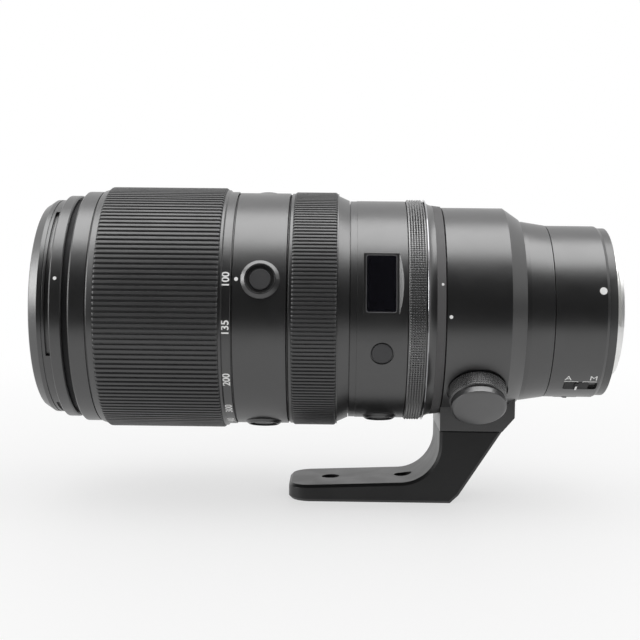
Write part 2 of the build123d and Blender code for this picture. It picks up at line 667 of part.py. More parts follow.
# Guide tube: the fixed inner tube whose straight slots stop the front barrel from turning.
s_guide_rear = S_FOCUS + GUIDE_REAR
s_guide_front = s_cell_rear - GUIDE_CELL_GAP
s_slot_front = s_guide_front - GUIDE_FRONT_SPARE
zoom_travel = s_slot_front - SLOT_END - FOLLOWER_RADIUS - s_follower
s_zoom_follower = ZOOM_CELL_STATION + ZOOM_CELL_LENGTH / 2
with BuildPart() as guide_tube:
    ring(s_guide_rear, s_guide_front, GUIDE_BORE_RADIUS, R_GUIDE)
    ring(s_guide_rear, s_guide_rear + GUIDE_FLANGE, FRAME_OUTER + SEAT_GAP, R_GUIDE)
    straight_slots(s_follower - FOLLOWER_RADIUS - SLOT_END, s_slot_front, GUIDE_BORE_RADIUS,
                   R_GUIDE, FOLLOWER_CLOCK, FOLLOWER_RADIUS + PIN_GAP)
    straight_slots(s_zoom_follower - FOLLOWER_RADIUS - SLOT_END,
                   s_zoom_follower + ZOOM_GROUP_TRAVEL + FOLLOWER_RADIUS + SLOT_END,
                   GUIDE_BORE_RADIUS, R_GUIDE, ZOOM_FOLLOWER_CLOCK, FOLLOWER_RADIUS + PIN_GAP)
keep("guide_tube", guide_tube)

# Cam tube: turns with the zoom ring, and its helical slots push the front barrel out.
s_seal_front = S_NAME_END - NAME_FLANGE - SEAT_GAP
s_seal_rear = s_seal_front - SEAL_LENGTH
s_web = S_BUTTONS + TAIL_WEB
s_cam_rear = s_web + CAM_REAR_CLEAR
s_cam_front = s_seal_rear - CAM_FRONT_CLEAR
cam_middle = (R_CAM_BORE + R_CAM) / 2
cam_rise = zoom_travel / radians(ZOOM_TURN)
cam_lead = atan2(cam_middle, cam_rise)
cam_steps = 14
s_key = S_ZOOM_GRIP - KEY_BACK - KEY_WIDTH / 2
key_clocks = [KEY_CLOCK + number * 360 / KEY_COUNT for number in range(KEY_COUNT)]
r_key_foot = R_CAM_BORE + CAM_WALL / 2
with BuildPart() as cam_tube:
    ring(s_cam_rear, s_cam_front, R_CAM_BORE, R_CAM)
    with BuildPart(mode=Mode.PRIVATE) as cam_slot:
        turn_step = ZOOM_TURN / cam_steps
        step_run = ((zoom_travel / cam_steps) ** 2 + (cam_middle * radians(turn_step)) ** 2) ** 0.5
        for number in range(cam_steps):
            part_way = (number + 0.5) / cam_steps
            plane = radial_plane(s_follower + zoom_travel * part_way,
                                 FOLLOWER_CLOCK - ZOOM_TURN * part_way, R_CAM_BORE - RUN_GAP)
            with BuildSketch(plane) as footprint:
                SlotCenterToCenter(step_run, 2 * (FOLLOWER_RADIUS + RUN_GAP),
                                   rotation=degrees(cam_lead))
            extrude(footprint.sketch, amount=CAM_WALL + 2 * RUN_GAP)
    for number in range(FOLLOWER_COUNT):
        add(cam_slot.part.rotate(Axis.X, number * 360 / FOLLOWER_COUNT), mode=Mode.SUBTRACT)
    for clock in key_clocks:
        block(s_key, clock, r_key_foot - SEAT_GAP, R_CAM + OVERRUN, KEY_WIDTH + 2 * SEAT_GAP,
              KEY_LENGTH + 2 * SEAT_GAP, mode=Mode.SUBTRACT)
keep("cam_tube", cam_tube)

# Keys between the zoom ring and the cam tube, through slots in the fixed barrel.
with BuildPart() as zoom_keys:
    for clock in key_clocks:
        block(s_key, clock, r_key_foot, R_ZOOM_BORE + KEY_BITE, KEY_WIDTH, KEY_LENGTH)
keep("zoom_keys", zoom_keys)

with BuildPart() as zoom_ring:
    turn((S_ZOOM + SEAM, R_ZOOM_BORE), (S_ZOOM + SEAM, R_SCALE - EDGE_CHAMFER / 2),
         (S_ZOOM + SEAM + EDGE_CHAMFER / 2, R_SCALE), (S_ZOOM_LIP, R_SCALE),
         (S_ZOOM_LIP + EDGE_CHAMFER, R_ZOOM_LIP), (S_ZOOM_GRIP - SEAT_GAP, R_ZOOM_LIP),
         (S_ZOOM_GRIP - SEAT_GAP, R_ZOOM_SEAT), (S_ZOOM_GRIP_END + SEAT_GAP, R_ZOOM_SEAT),
         (S_ZOOM_GRIP_END + SEAT_GAP, R_ZOOM_LIP), (S_NAME - SEAM - EDGE_CHAMFER, R_SCALE),
         (S_NAME - SEAM, R_SCALE - EDGE_CHAMFER), (S_NAME - SEAM, R_ZOOM_BORE))
    for clock in key_clocks:
        block(s_key, clock, R_ZOOM_BORE - OVERRUN, R_ZOOM_BORE + KEY_BITE + SEAT_GAP,
              KEY_WIDTH + 2 * SEAT_GAP, KEY_LENGTH + 2 * SEAT_GAP, mode=Mode.SUBTRACT)
keep("zoom_ring", zoom_ring)

with BuildPart() as zoom_grip:
    ribbed_sleeve(S_ZOOM_GRIP, S_ZOOM_GRIP_END, R_ZOOM_SEAT + SEAT_GAP, R_ZOOM_ROOT,
                  R_ZOOM_CREST, ZOOM_RIB_COUNT)
keep("zoom_grip", zoom_grip)

# Fixed barrel: the sleeve that the zoom ring turns on, the section with the four function
# buttons, and the tail that the focus ring turns on.
fn_station = S_ZOOM - FN_BACK
fn_face = R_BUTTONS + BOSS_HEIGHT - BUTTON_DROP
fn_clocks = [BODY_CLOCK + number * 360 / FN_COUNT for number in range(FN_COUNT)]
s_focus_wall = S_FOCUS + FOCUS_REAR_WALL
s_tail = s_focus_wall + RUN_GAP
r_on_spigot = R_SPIGOT + SEAT_GAP
key_arc = degrees(KEY_LENGTH / R_CAM)
with BuildPart() as fixed_barrel:
    turn((s_tail, r_on_spigot), (s_tail, R_FOCUS_TAIL), (S_BUTTONS, R_FOCUS_TAIL),
         (S_BUTTONS, R_BUTTONS - EDGE_CHAMFER), (S_BUTTONS + EDGE_CHAMFER / 2, R_BUTTONS),
         (S_ZOOM - EDGE_CHAMFER / 2, R_BUTTONS), (S_ZOOM, R_BUTTONS - EDGE_CHAMFER),
         (S_ZOOM, R_SLEEVE), (s_seal_front, R_SLEEVE), (s_seal_front, R_SLEEVE_BORE),
         (s_web, R_SLEEVE_BORE), (s_web, R_FOCUS_TAIL_BORE),
         (s_tail + TAIL_FLANGE, R_FOCUS_TAIL_BORE), (s_tail + TAIL_FLANGE, r_on_spigot))
    for clock in fn_clocks:
        button_boss(fn_station, clock, R_BUTTONS, 1)
        button_hole(fn_station, clock, fn_face, BUTTON_RADIUS)
    for clock in key_clocks:
        sector(s_key - KEY_WIDTH / 2 - RUN_GAP, s_key + KEY_WIDTH / 2 + RUN_GAP,
               R_SLEEVE_BORE - RUN_GAP, R_SLEEVE + RUN_GAP, clock + ZOOM_TURN / 2,
               ZOOM_TURN + key_arc + 2 * SLOT_ARC_SPARE, mode=Mode.SUBTRACT)
keep("fixed_barrel", fixed_barrel)

for number, clock in enumerate(fn_clocks):
    with BuildPart() as fn_button:
        button_cap(fn_station, clock, fn_face, BUTTON_RADIUS)
    keep(f"fn_button_{number + 1}", fn_button)

# Name ring: the plain fixed ring in front of the zoom ring, and the felt seal behind its lip.
r_name_bore = R_BARREL + NAME_BORE_GAP
r_on_sleeve = R_SLEEVE + SEAT_GAP
s_name_lip = S_NAME_END - NAME_FLANGE
with BuildPart() as name_ring:
    turn((S_NAME, r_on_sleeve), (S_NAME, R_NAME), (S_NAME_END - NAME_BEVEL, R_NAME),
         (S_NAME_END, R_NAME - NAME_BEVEL), (S_NAME_END, r_name_bore), (s_name_lip, r_name_bore),
         (s_name_lip, r_on_sleeve))
keep("name_ring", name_ring)

with BuildPart() as barrel_seal:
    ring(s_seal_rear, s_seal_front, R_BARREL + SEAL_GAP, R_SLEEVE_BORE - SEAT_GAP)
keep("barrel_seal", barrel_seal)

# Focus ring: turns on the fixed barrel's tail and tapers down to the panel barrel.
s_focus_rear = S_FOCUS + SEAM / 2
s_focus_front = S_BUTTONS - SEAM
with BuildPart() as focus_ring:
    turn((s_focus_rear, R_SPIGOT + RUN_GAP), (s_focus_rear, R_PANEL), (S_FOCUS_LIP, R_FOCUS_CONE),
         (S_FOCUS_LIP, R_FOCUS_LIP), (S_FOCUS_GRIP - SEAT_GAP, R_FOCUS_LIP),
         (S_FOCUS_GRIP - SEAT_GAP, R_FOCUS_SEAT), (S_FOCUS_GRIP_END + SEAT_GAP, R_FOCUS_SEAT),
         (S_FOCUS_GRIP_END + SEAT_GAP, R_FOCUS_LIP), (s_focus_front - EDGE_CHAMFER, R_FOCUS_LIP),
         (s_focus_front, R_FOCUS_LIP - EDGE_CHAMFER), (s_focus_front, R_FOCUS_BORE),
         (s_focus_wall, R_FOCUS_BORE), (s_focus_wall, R_SPIGOT + RUN_GAP))
keep("focus_ring", focus_ring)

with BuildPart() as focus_grip:
    ribbed_sleeve(S_FOCUS_GRIP, S_FOCUS_GRIP_END, R_FOCUS_SEAT + SEAT_GAP, R_FOCUS_ROOT,
                  R_FOCUS_CREST, FOCUS_RIB_COUNT)
keep("focus_grip", focus_grip)

# Panel barrel: carries the display window, its button and one function button.
r_panel_bore = R_PANEL - PANEL_WALL
r_panel_band = R_PANEL - PANEL_BAND_DROP
s_panel_front = S_FOCUS - SEAM / 2
s_spigot_rear = S_PANEL - REAR_SPIGOT_LENGTH
s_window = S_PANEL_BAND - WINDOW_FRONT - WINDOW_LENGTH / 2
window_flat = (R_PANEL ** 2 - (WINDOW_HEIGHT / 2) ** 2) ** 0.5
window_rise = R_PANEL - window_flat + OVERRUN
window_floor = window_flat - WINDOW_GLASS - SEAT_GAP
glass_length = WINDOW_LENGTH - 2 * WINDOW_GLASS_MARGIN
glass_height = WINDOW_HEIGHT - 2 * WINDOW_GLASS_MARGIN
screen_length = glass_length - 2 * WINDOW_LEDGE
screen_height = glass_height - 2 * WINDOW_LEDGE
display_station = S_PANEL_BAND - DISPLAY_BUTTON_BACK
side_station = S_PANEL_BAND - SIDE_BUTTON_BACK
side_face = R_PANEL + BOSS_HEIGHT - BUTTON_DROP
side_radius = BUTTON_RADIUS * SIDE_BOSS_SHARE
with BuildPart() as panel_shell:
    turn((s_spigot_rear, r_panel_bore), (s_spigot_rear, R_REAR_SPIGOT), (S_PANEL, R_REAR_SPIGOT),
         (S_PANEL, R_PANEL - EDGE_CHAMFER / 2), (S_PANEL + EDGE_CHAMFER / 2, R_PANEL),
         (S_PANEL_BAND, R_PANEL), (S_PANEL_BAND, r_panel_band), (s_panel_front, r_panel_band),
         (s_panel_front, R_SPIGOT), (S_FOCUS + SPIGOT_LENGTH, R_SPIGOT),
         (S_FOCUS + SPIGOT_LENGTH, R_SPIGOT_BORE), (S_FOCUS, R_SPIGOT_BORE),
         (S_FOCUS, r_panel_bore))
    with BuildSketch(Plane(origin=(-s_window, 0, 0), x_dir=(1, 0, 0),
                           z_dir=outward(BODY_CLOCK - 90))) as window_profile:
        with BuildLine():
            Polyline((-WINDOW_LENGTH / 2, window_flat), (WINDOW_LENGTH / 2, window_flat),
                     (WINDOW_LENGTH / 2 + window_rise, window_flat + window_rise),
                     (-WINDOW_LENGTH / 2, window_flat + window_rise), close=True)
        make_face()
    extrude(window_profile.sketch, amount=WINDOW_HEIGHT / 2 + OVERRUN, both=True,
            mode=Mode.SUBTRACT)
    block(s_window, BODY_CLOCK, window_floor, window_flat + OVERRUN, glass_length + 2 * SEAT_GAP,
          glass_height + 2 * SEAT_GAP, WINDOW_CORNER, mode=Mode.SUBTRACT)
    block(s_window, BODY_CLOCK, window_flat - PANEL_WALL, window_flat, screen_length,
          screen_height, mode=Mode.SUBTRACT)
    button_hole(display_station, DISPLAY_BUTTON_CLOCK, R_PANEL, DISPLAY_BUTTON_RADIUS)
    post(display_station, DISPLAY_BUTTON_CLOCK, R_PANEL - DISPLAY_GROOVE_DEPTH, R_PANEL + OVERRUN,
         DISPLAY_BUTTON_RADIUS + DISPLAY_BUTTON_GROOVE, mode=Mode.SUBTRACT)
    button_boss(side_station, SIDE_BUTTON_CLOCK, R_PANEL, SIDE_BOSS_SHARE)
    button_hole(side_station, SIDE_BUTTON_CLOCK, side_face, side_radius)
keep("panel_shell", panel_shell)

with BuildPart() as display_glass:
    block(s_window, BODY_CLOCK, window_flat - WINDOW_GLASS, window_flat, glass_length,
          glass_height, WINDOW_CORNER)
keep("display_glass", display_glass)

with BuildPart() as display_module:
    block(s_window, BODY_CLOCK, window_floor - DISPLAY_THICKNESS, window_floor,
          screen_length - 2 * SEAT_GAP, screen_height - 2 * SEAT_GAP)
keep("display_module", display_module)

with BuildPart() as display_button:
    button_cap(display_station, DISPLAY_BUTTON_CLOCK, R_PANEL, DISPLAY_BUTTON_RADIUS)
keep("display_button", display_button)

with BuildPart() as side_button:
    button_cap(side_station, SIDE_BUTTON_CLOCK, side_face, side_radius)
keep("side_button", side_button)

# Control ring: a narrow ridged ring that turns on the panel barrel's rear spigot.
s_control_rear = S_CONTROL + SEAM / 2
s_control_front = S_PANEL - SEAM / 2
ridge_pitch = CONTROL_RIDGE_SPAN / CONTROL_RIDGES
ridge_land = ridge_pitch / 4
r_control_root = R_CONTROL - CONTROL_RIDGE_DEPTH
with BuildPart() as control_ring:
    ring(s_control_rear, s_control_front, R_REAR_SPIGOT + RUN_GAP, r_control_root)
    for number in range(CONTROL_RIDGES):
        middle = (s_control_rear + s_control_front) / 2 + (number + 0.5) * ridge_pitch
        start = middle - CONTROL_RIDGE_SPAN / 2 - ridge_pitch / 2 + ridge_land / 2
        turn((start, r_control_root - CONTROL_RIDGE_DEPTH), (start, r_control_root),
             (start + ridge_land, R_CONTROL), (start + 2 * ridge_land, R_CONTROL),
             (start + 3 * ridge_land, r_control_root),
             (start + 3 * ridge_land, r_control_root - CONTROL_RIDGE_DEPTH))
keep("control_ring", control_ring)

with BuildPart() as trim_band:
    ring(S_TRIM + SEAT_GAP, S_CONTROL - SEAM / 2, R_REAR_SPIGOT + SEAT_GAP, R_TRIM)
    chamfer(edges().filter_by(GeomType.CIRCLE).sort_by(SortBy.RADIUS)[-2:],
            length=TRIM_BAND_LENGTH / 5)
keep("trim_band", trim_band)

# Index ring: the fixed ring with a hollow glossy slope and a satin band, in front of the collar.
s_track_rear = S_COLLAR_BAND + TRACK_REAR
s_index_rear = S_INDEX + SEAM / 2
cove_middle = (-(S_COVE + S_TRIM) / 2, (R_INDEX_COVE + R_INDEX_BAND - EDGE_CHAMFER) / 2)
with BuildPart() as index_ring:
    with BuildSketch(Plane.XY) as section:
        with BuildLine():
            Polyline((-S_TRIM, R_INDEX_COVE), (-S_TRIM, R_REAR_SPIGOT + SEAT_GAP),
                     (SEAT_GAP - s_spigot_rear, R_REAR_SPIGOT + SEAT_GAP),
                     (SEAT_GAP - s_spigot_rear, R_TRACK + SEAT_GAP),
                     (-s_index_rear, R_TRACK + SEAT_GAP), (-s_index_rear, R_INDEX_REAR),
                     (-S_COVE, R_INDEX_BAND))
            ThreePointArc((-S_COVE, R_INDEX_BAND), cove_middle, (-S_TRIM, R_INDEX_COVE))
        make_face()
    revolve(axis=Axis.X)
keep("index_ring", index_ring)

with BuildPart() as collar_track:
    ring(s_track_rear, S_INDEX + TRACK_FRONT, R_TRACK_BORE, R_TRACK)
keep("collar_track", collar_track)

# Tripod collar: turns on the track; its block carries the foot and its knob clamps it.
x_block_front = -S_INDEX + SEAM / 2
x_block_rear = x_block_front + BLOCK_LENGTH
x_seam_rear = x_block_rear - SLANT_TOP
z_foot_top = -BLOCK_BOTTOM - FOOT_GAP
x_bolts = x_block_front + BOLT_FRONT + BOLT_PITCH_X / 2
knob_base = KNOB_SEAT + KNOB_FLOOR
bolt_spots = [(x_bolts + row * BOLT_PITCH_X / 2, side * BOLT_PITCH_Y / 2)
              for row in (-1, 1) for side in (-1, 1)]


def upright(bottom, top, radius, spots, mode=Mode.ADD):
    """Upright round column at each of some places, between two heights."""
    with BuildSketch(Plane.XY.offset(bottom)) as discs:
        with Locations(*spots):
            Circle(radius)
    extrude(discs.sketch, amount=top - bottom, mode=mode)


with BuildPart() as collar:
    turn((S_COLLAR, R_COLLAR_REAR_BORE), (S_COLLAR, R_COLLAR_REAR), (S_COLLAR_BAND, R_COLLAR),
         (S_INDEX - SEAM / 2 - EDGE_CHAMFER / 2, R_COLLAR),
         (S_INDEX - SEAM / 2, R_COLLAR - EDGE_CHAMFER / 2), (S_INDEX - SEAM / 2, R_COLLAR_REAR_BORE))
    with BuildSketch(Plane.XZ) as section:
        with BuildLine():
            Polyline((x_block_front, -BLOCK_BOTTOM), (x_seam_rear, -BLOCK_BOTTOM),
                     (x_block_rear, -BLOCK_REAR_TOP), (x_block_rear, -BLOCK_TOP),
                     (x_block_front, -BLOCK_TOP), close=True)
        make_face()
    extrude(section.sketch, amount=BLOCK_WIDTH / 2, both=True)
    chamfer(edges().filter_by(Axis.X).group_by(Axis.Z)[0], length=BLOCK_BREAK)
    ring(s_track_rear - RUN_GAP, S_INDEX, 0, R_TRACK + COLLAR_BORE_GAP, mode=Mode.SUBTRACT)
    ring(S_COLLAR - OVERRUN, S_INDEX, 0, R_COLLAR_REAR_BORE, mode=Mode.SUBTRACT)
    post(KNOB_STATION, KNOB_CLOCK, KNOB_SEAT, KNOB_SEAT + KNOB_LENGTH, KNOB_RADIUS + SPOT_MARGIN,
         mode=Mode.SUBTRACT)
    post(KNOB_STATION, KNOB_CLOCK, R_TRACK, KNOB_SEAT + OVERRUN, KNOB_STUD_RADIUS + PIN_GAP,
         mode=Mode.SUBTRACT)
    upright(-BLOCK_BOTTOM - OVERRUN, -BOLT_SEAT, BOLT_RADIUS + SEAT_GAP, bolt_spots,
            mode=Mode.SUBTRACT)
    upright(-BOLT_SEAT - SEAT_GAP, -BLOCK_TOP, BOLT_HEAD_RADIUS + PIN_GAP, bolt_spots,
            mode=Mode.SUBTRACT)
keep("collar", collar)

with BuildPart() as foot_bolts:
    upright(z_foot_top - BOLT_BITE, -BOLT_SEAT, BOLT_RADIUS, bolt_spots)
    upright(-BOLT_SEAT, BOLT_HEAD_LENGTH - BOLT_SEAT, BOLT_HEAD_RADIUS, bolt_spots)
    with BuildSketch(Plane.XY.offset(BOLT_HEAD_LENGTH - BOLT_SEAT)) as sockets:
        with Locations(*bolt_spots):
            RegularPolygon(BOLT_SOCKET, 6)
    extrude(sockets.sketch, amount=-BOLT_SOCKET_DEPTH, mode=Mode.SUBTRACT)
keep("foot_bolts", foot_bolts)

with BuildPart() as collar_knob:
    with BuildSketch(radial_plane(KNOB_STATION, KNOB_CLOCK, knob_base)) as rim:
        Circle(KNOB_RADIUS)
        with PolarLocations(KNOB_RADIUS, KNOB_TEETH):
            RegularPolygon(KNOB_TOOTH, 4, mode=Mode.SUBTRACT)
    extrude(rim.sketch, amount=KNOB_RIM_LENGTH)
    post(KNOB_STATION, KNOB_CLOCK, knob_base + KNOB_RIM_LENGTH, knob_base + KNOB_RIM_LENGTH
         + KNOB_GROOVE, KNOB_RADIUS - 2 * KNOB_GROOVE_DEPTH)
    post(KNOB_STATION, KNOB_CLOCK, knob_base + KNOB_RIM_LENGTH + KNOB_GROOVE,
         knob_base + KNOB_LENGTH, KNOB_RADIUS - KNOB_GROOVE_DEPTH)
    above = outward(KNOB_CLOCK) * KNOB_LENGTH * 2 + radial_plane(KNOB_STATION, KNOB_CLOCK,
                                                                 knob_base).origin
    chamfer(edges().filter_by(GeomType.CIRCLE).sort_by_distance(above)[0], length=KNOB_BEVEL)
    post(KNOB_STATION, KNOB_CLOCK, R_TRACK + PIN_GAP, knob_base, KNOB_STUD_RADIUS)
keep("collar_knob", collar_knob)

# Foot: an arm that drops from the collar's block and a long flat plate that runs forwards.
x_foot_front = x_block_front - FOOT_LENGTH
x_heel = x_seam_rear - SLANT_LENGTH
x_cove = x_block_front - FOOT_COVE
z_root = -FOOT_BOTTOM + FOOT_ROOT_THICKNESS
z_cove = z_root + FOOT_COVE
foot_cove = [(x_cove, z_root), (x_cove + FOOT_COVE * sin(pi / 4), z_cove - FOOT_COVE * cos(pi / 4)),
             (x_block_front, z_cove)]
x_hole = x_foot_front + FOOT_HOLE_FRONT
hole_spots = [(x_hole, 0), (x_hole + FOOT_HOLE_PITCH, 0)]


def on_foot_rim(edge):
    """Whether an edge runs round the foot's sides and front, below its seam with the block."""
    middle = edge.center()
    across = abs(edge.tangent_at(0).Y) > 0.99
    upright_corner = abs(edge.tangent_at(0).Z) > 0.99 and middle.Z < z_root
    if middle.Z > z_foot_top - FOOT_EDGE or upright_corner:
        return False
    return middle.X < x_foot_front + SEAT_GAP if across else True


with BuildPart() as foot:
    with BuildSketch(Plane.XZ) as section:
        with BuildLine():
            Polyline((x_block_front, z_cove), (x_block_front, z_foot_top),
                     (x_seam_rear, z_foot_top), (x_heel, -FOOT_BOTTOM + FOOT_HEEL),
                     (x_block_front + FOOT_REAR_REACH, -FOOT_BOTTOM), (x_foot_front, -FOOT_BOTTOM),
                     (x_foot_front, -FOOT_BOTTOM + FOOT_FRONT_THICKNESS), foot_cove[0])
            ThreePointArc(*foot_cove)
        make_face()
    extrude(section.sketch, amount=BLOCK_WIDTH / 2, both=True)
    fillet(edges().filter_by(Axis.Z).group_by(Axis.X)[0], radius=FOOT_CORNER)
    chamfer(edges().filter_by(on_foot_rim), length=FOOT_EDGE)
    upright(-FOOT_BOTTOM - OVERRUN, z_root + OVERRUN, FOOT_HOLE_RADIUS, hole_spots,
            mode=Mode.SUBTRACT)
    upright(-FOOT_BOTTOM - OVERRUN, -FOOT_BOTTOM + INSERT_LENGTH + SEAT_GAP,
            INSERT_RADIUS + SEAT_GAP, hole_spots, mode=Mode.SUBTRACT)
    upright(z_foot_top - BOLT_BITE - SEAT_GAP, -BLOCK_BOTTOM, BOLT_RADIUS + SEAT_GAP, bolt_spots,
            mode=Mode.SUBTRACT)
keep("foot", foot)

with BuildPart() as tripod_inserts:
    upright(-FOOT_BOTTOM, -FOOT_BOTTOM + INSERT_LENGTH, INSERT_RADIUS, hole_spots)
    upright(-FOOT_BOTTOM, -FOOT_BOTTOM + INSERT_LENGTH, TRIPOD_THREAD_RADIUS, hole_spots,
            mode=Mode.SUBTRACT)
keep("tripod_inserts", tripod_inserts)

# Rear barrels: the flare behind the collar and the straight barrel with the two slide switches.
r_shell_bore = R_REAR_BARREL - REAR_WALL
r_flare_seat = r_shell_bore - SEAT_GAP
s_shell_front = S_FLARE - SEAM
with BuildPart() as flare_shell:
    turn((S_FLARE - SHELL_SPIGOT_LENGTH, r_flare_seat - SHELL_SPIGOT_WALL),
         (S_FLARE - SHELL_SPIGOT_LENGTH, r_flare_seat), (S_FLARE, r_flare_seat),
         (S_FLARE, R_FLARE_REAR), (S_FLARE_END, R_FLARE), (s_track_rear, R_FLARE),
         (s_track_rear, R_TRACK_BORE - SEAT_GAP),
         (s_track_rear + FLARE_FLANGE, R_TRACK_BORE - SEAT_GAP),
         (s_track_rear + FLARE_FLANGE, FLARE_BORE), (S_FLARE + FLARE_STEP, FLARE_BORE),
         (S_FLARE + FLARE_STEP, r_flare_seat - SHELL_SPIGOT_WALL))
keep("flare_shell", flare_shell)

switch_floor = R_REAR_BARREL - SWITCH_DEPTH
screw_spots = PolarLocations(MOUNT_SCREW_CIRCLE, MOUNT_SCREW_COUNT, 45)
s_screw_tip = MOUNT_SCREW_HEAD_DEPTH + MOUNT_SCREW_LENGTH


def along(rear, front, radius, spots, mode=Mode.ADD):
    """Round column along the axis at each of some places, between two stations."""
    with BuildSketch(Plane.YZ.offset(-front)) as discs:
        with spots:
            Circle(radius)
    extrude(discs.sketch, amount=front - rear, mode=mode)


with BuildPart() as rear_shell:
    turn((S_REAR, REAR_SHELL_FLANGE_BORE), (S_REAR, R_REAR_BARREL - REAR_EDGE / 2),
         (S_REAR + REAR_EDGE, R_REAR_BARREL), (s_shell_front, R_REAR_BARREL),
         (s_shell_front, r_shell_bore), (S_REAR + REAR_SHELL_FLANGE, r_shell_bore),
         (S_REAR + REAR_SHELL_FLANGE, REAR_SHELL_FLANGE_BORE))
    for station, clock in zip(SWITCH_STATIONS, SWITCH_CLOCKS):
        block(station, clock, switch_floor, R_REAR_BARREL + OVERRUN, SWITCH_LENGTH, SWITCH_HEIGHT,
              SWITCH_CORNER, mode=Mode.SUBTRACT)
    along(S_REAR - OVERRUN, s_screw_tip + SEAT_GAP, MOUNT_SCREW_RADIUS + SEAT_GAP, screw_spots,
          mode=Mode.SUBTRACT)
keep("rear_shell", rear_shell)

for name, station, clock in zip(("focus_mode_slider", "focus_limit_slider"), SWITCH_STATIONS,
                                SWITCH_CLOCKS):
    with BuildPart() as slider:
        here = station + SWITCH_TRAVEL / 2
        block(here, clock, switch_floor + PIN_GAP, R_REAR_BARREL, SLIDER_LENGTH,
              SWITCH_HEIGHT - 2 * PIN_GAP, SWITCH_CORNER - PIN_GAP)
        block(here, clock, R_REAR_BARREL, R_REAR_BARREL + SLIDER_RIDGE_HEIGHT, SLIDER_RIDGE,
              SWITCH_HEIGHT - 2 * SLIDER_RIDGE_HEIGHT)
    keep(name, slider)

# Mount: a metal plate with three bayonet tabs, its screws, and the rubber seal round it.
s_plate = S_REAR - SEAT_GAP
r_bayonet = MOUNT_THROAT_RADIUS + BAYONET_WALL
with BuildPart() as mount_plate:
    turn((-BAYONET_LENGTH, MOUNT_THROAT_RADIUS), (-BAYONET_LENGTH, r_bayonet), (0, r_bayonet),
         (0, R_MOUNT), (s_plate, R_MOUNT), (s_plate, REAR_SHELL_FLANGE_BORE - SEAT_GAP),
         (S_REAR + REAR_SHELL_FLANGE, REAR_SHELL_FLANGE_BORE - SEAT_GAP),
         (S_REAR + REAR_SHELL_FLANGE, MOUNT_THROAT_RADIUS))
    for number in range(TAB_COUNT):
        sector(-TAB_FRONT - TAB_THICKNESS, -TAB_FRONT, r_bayonet - BAYONET_WALL / 2, TAB_RADIUS,
               BODY_CLOCK + number * 360 / TAB_COUNT, TAB_ARC)
    along(-OVERRUN, MOUNT_SCREW_HEAD_DEPTH + SEAT_GAP, MOUNT_SCREW_HEAD + PIN_GAP, screw_spots,
          mode=Mode.SUBTRACT)
    along(0, S_REAR, MOUNT_SCREW_RADIUS + SEAT_GAP, screw_spots, mode=Mode.SUBTRACT)
keep("mount_plate", mount_plate)

with BuildPart() as mount_screws:
    along(0, MOUNT_SCREW_HEAD_DEPTH, MOUNT_SCREW_HEAD, screw_spots)
    along(MOUNT_SCREW_HEAD_DEPTH, s_screw_tip, MOUNT_SCREW_RADIUS, screw_spots)
    with BuildSketch(Plane.YZ) as crosses:
        with screw_spots:
            Rectangle(SCREW_CROSS, SCREW_CROSS_WIDTH)
            Rectangle(SCREW_CROSS_WIDTH, SCREW_CROSS)
    extrude(crosses.sketch, amount=-SCREW_CROSS_DEPTH, mode=Mode.SUBTRACT)
keep("mount_screws", mount_screws)

with BuildPart() as mount_gasket:
    ring(-GASKET_PROUD, s_plate, R_GASKET - GASKET_WALL, R_GASKET)
keep("mount_gasket", mount_gasket)

contact_spots = PolarLocations((CONTACT_INNER + MOUNT_THROAT_RADIUS) / 2, CONTACT_COUNT,
                               -BODY_CLOCK - CONTACT_PITCH * (CONTACT_COUNT - 1) / 2,
                               CONTACT_PITCH * (CONTACT_COUNT - 1), endpoint=True)
with BuildPart() as contact_block:
    sector(-CONTACT_PROUD, CONTACT_DEPTH, CONTACT_INNER, MOUNT_THROAT_RADIUS - SEAT_GAP,
           180 + BODY_CLOCK, CONTACT_ARC)
    along(-CONTACT_PROUD - OVERRUN, CONTACT_SEAT - CONTACT_PROUD + SEAT_GAP,
          CONTACT_RADIUS + SEAT_GAP, contact_spots, mode=Mode.SUBTRACT)
keep("contact_block", contact_block)

with BuildPart() as contact_pins:
    along(-CONTACT_PROUD - CONTACT_HEIGHT, CONTACT_SEAT - CONTACT_PROUD, CONTACT_RADIUS,
          contact_spots)
keep("contact_pins", contact_pins)

# Inner frame: the tube that ties the guide tube, the track and the rear lens cell together.
s_frame_rear = S_COLLAR_BAND + FRAME_REAR
s_frame_flange = s_guide_rear - SEAT_GAP
r_in_track = R_TRACK_BORE - SEAT_GAP
r_frame_ledge = FRAME_BORE - FRAME_REAR_LEDGE
r_in_frame = FRAME_BORE - SEAT_GAP
with BuildPart() as main_frame:
    turn((s_frame_rear, r_frame_ledge), (s_frame_rear, r_in_track),
         (s_frame_rear + FRAME_FLANGE, r_in_track), (s_frame_rear + FRAME_FLANGE, FRAME_OUTER),
         (s_frame_flange - FRAME_FLANGE, FRAME_OUTER),
         (s_frame_flange - FRAME_FLANGE, r_panel_bore - SEAT_GAP),
         (s_frame_flange, r_panel_bore - SEAT_GAP), (s_frame_flange, FRAME_OUTER),
         (s_guide_rear + GUIDE_FLANGE, FRAME_OUTER), (s_guide_rear + GUIDE_FLANGE, FRAME_BORE),
         (s_frame_rear + FRAME_LEDGE_LENGTH, FRAME_BORE),
         (s_frame_rear + FRAME_LEDGE_LENGTH, r_frame_ledge))
keep("main_frame", main_frame)

with BuildPart() as main_board:
    ring(BOARD_STATION, BOARD_STATION + BOARD_THICKNESS, BOARD_INNER, r_flare_seat)
    with BuildSketch(Plane.YZ.offset(-BOARD_STATION - BOARD_THICKNESS)) as chips:
        with PolarLocations(CHIP_CIRCLE, CHIP_COUNT):
            Rectangle(CHIP_SIZE, CHIP_SIZE)
    extrude(chips.sketch, amount=-CHIP_HEIGHT)
keep("main_board", main_board)

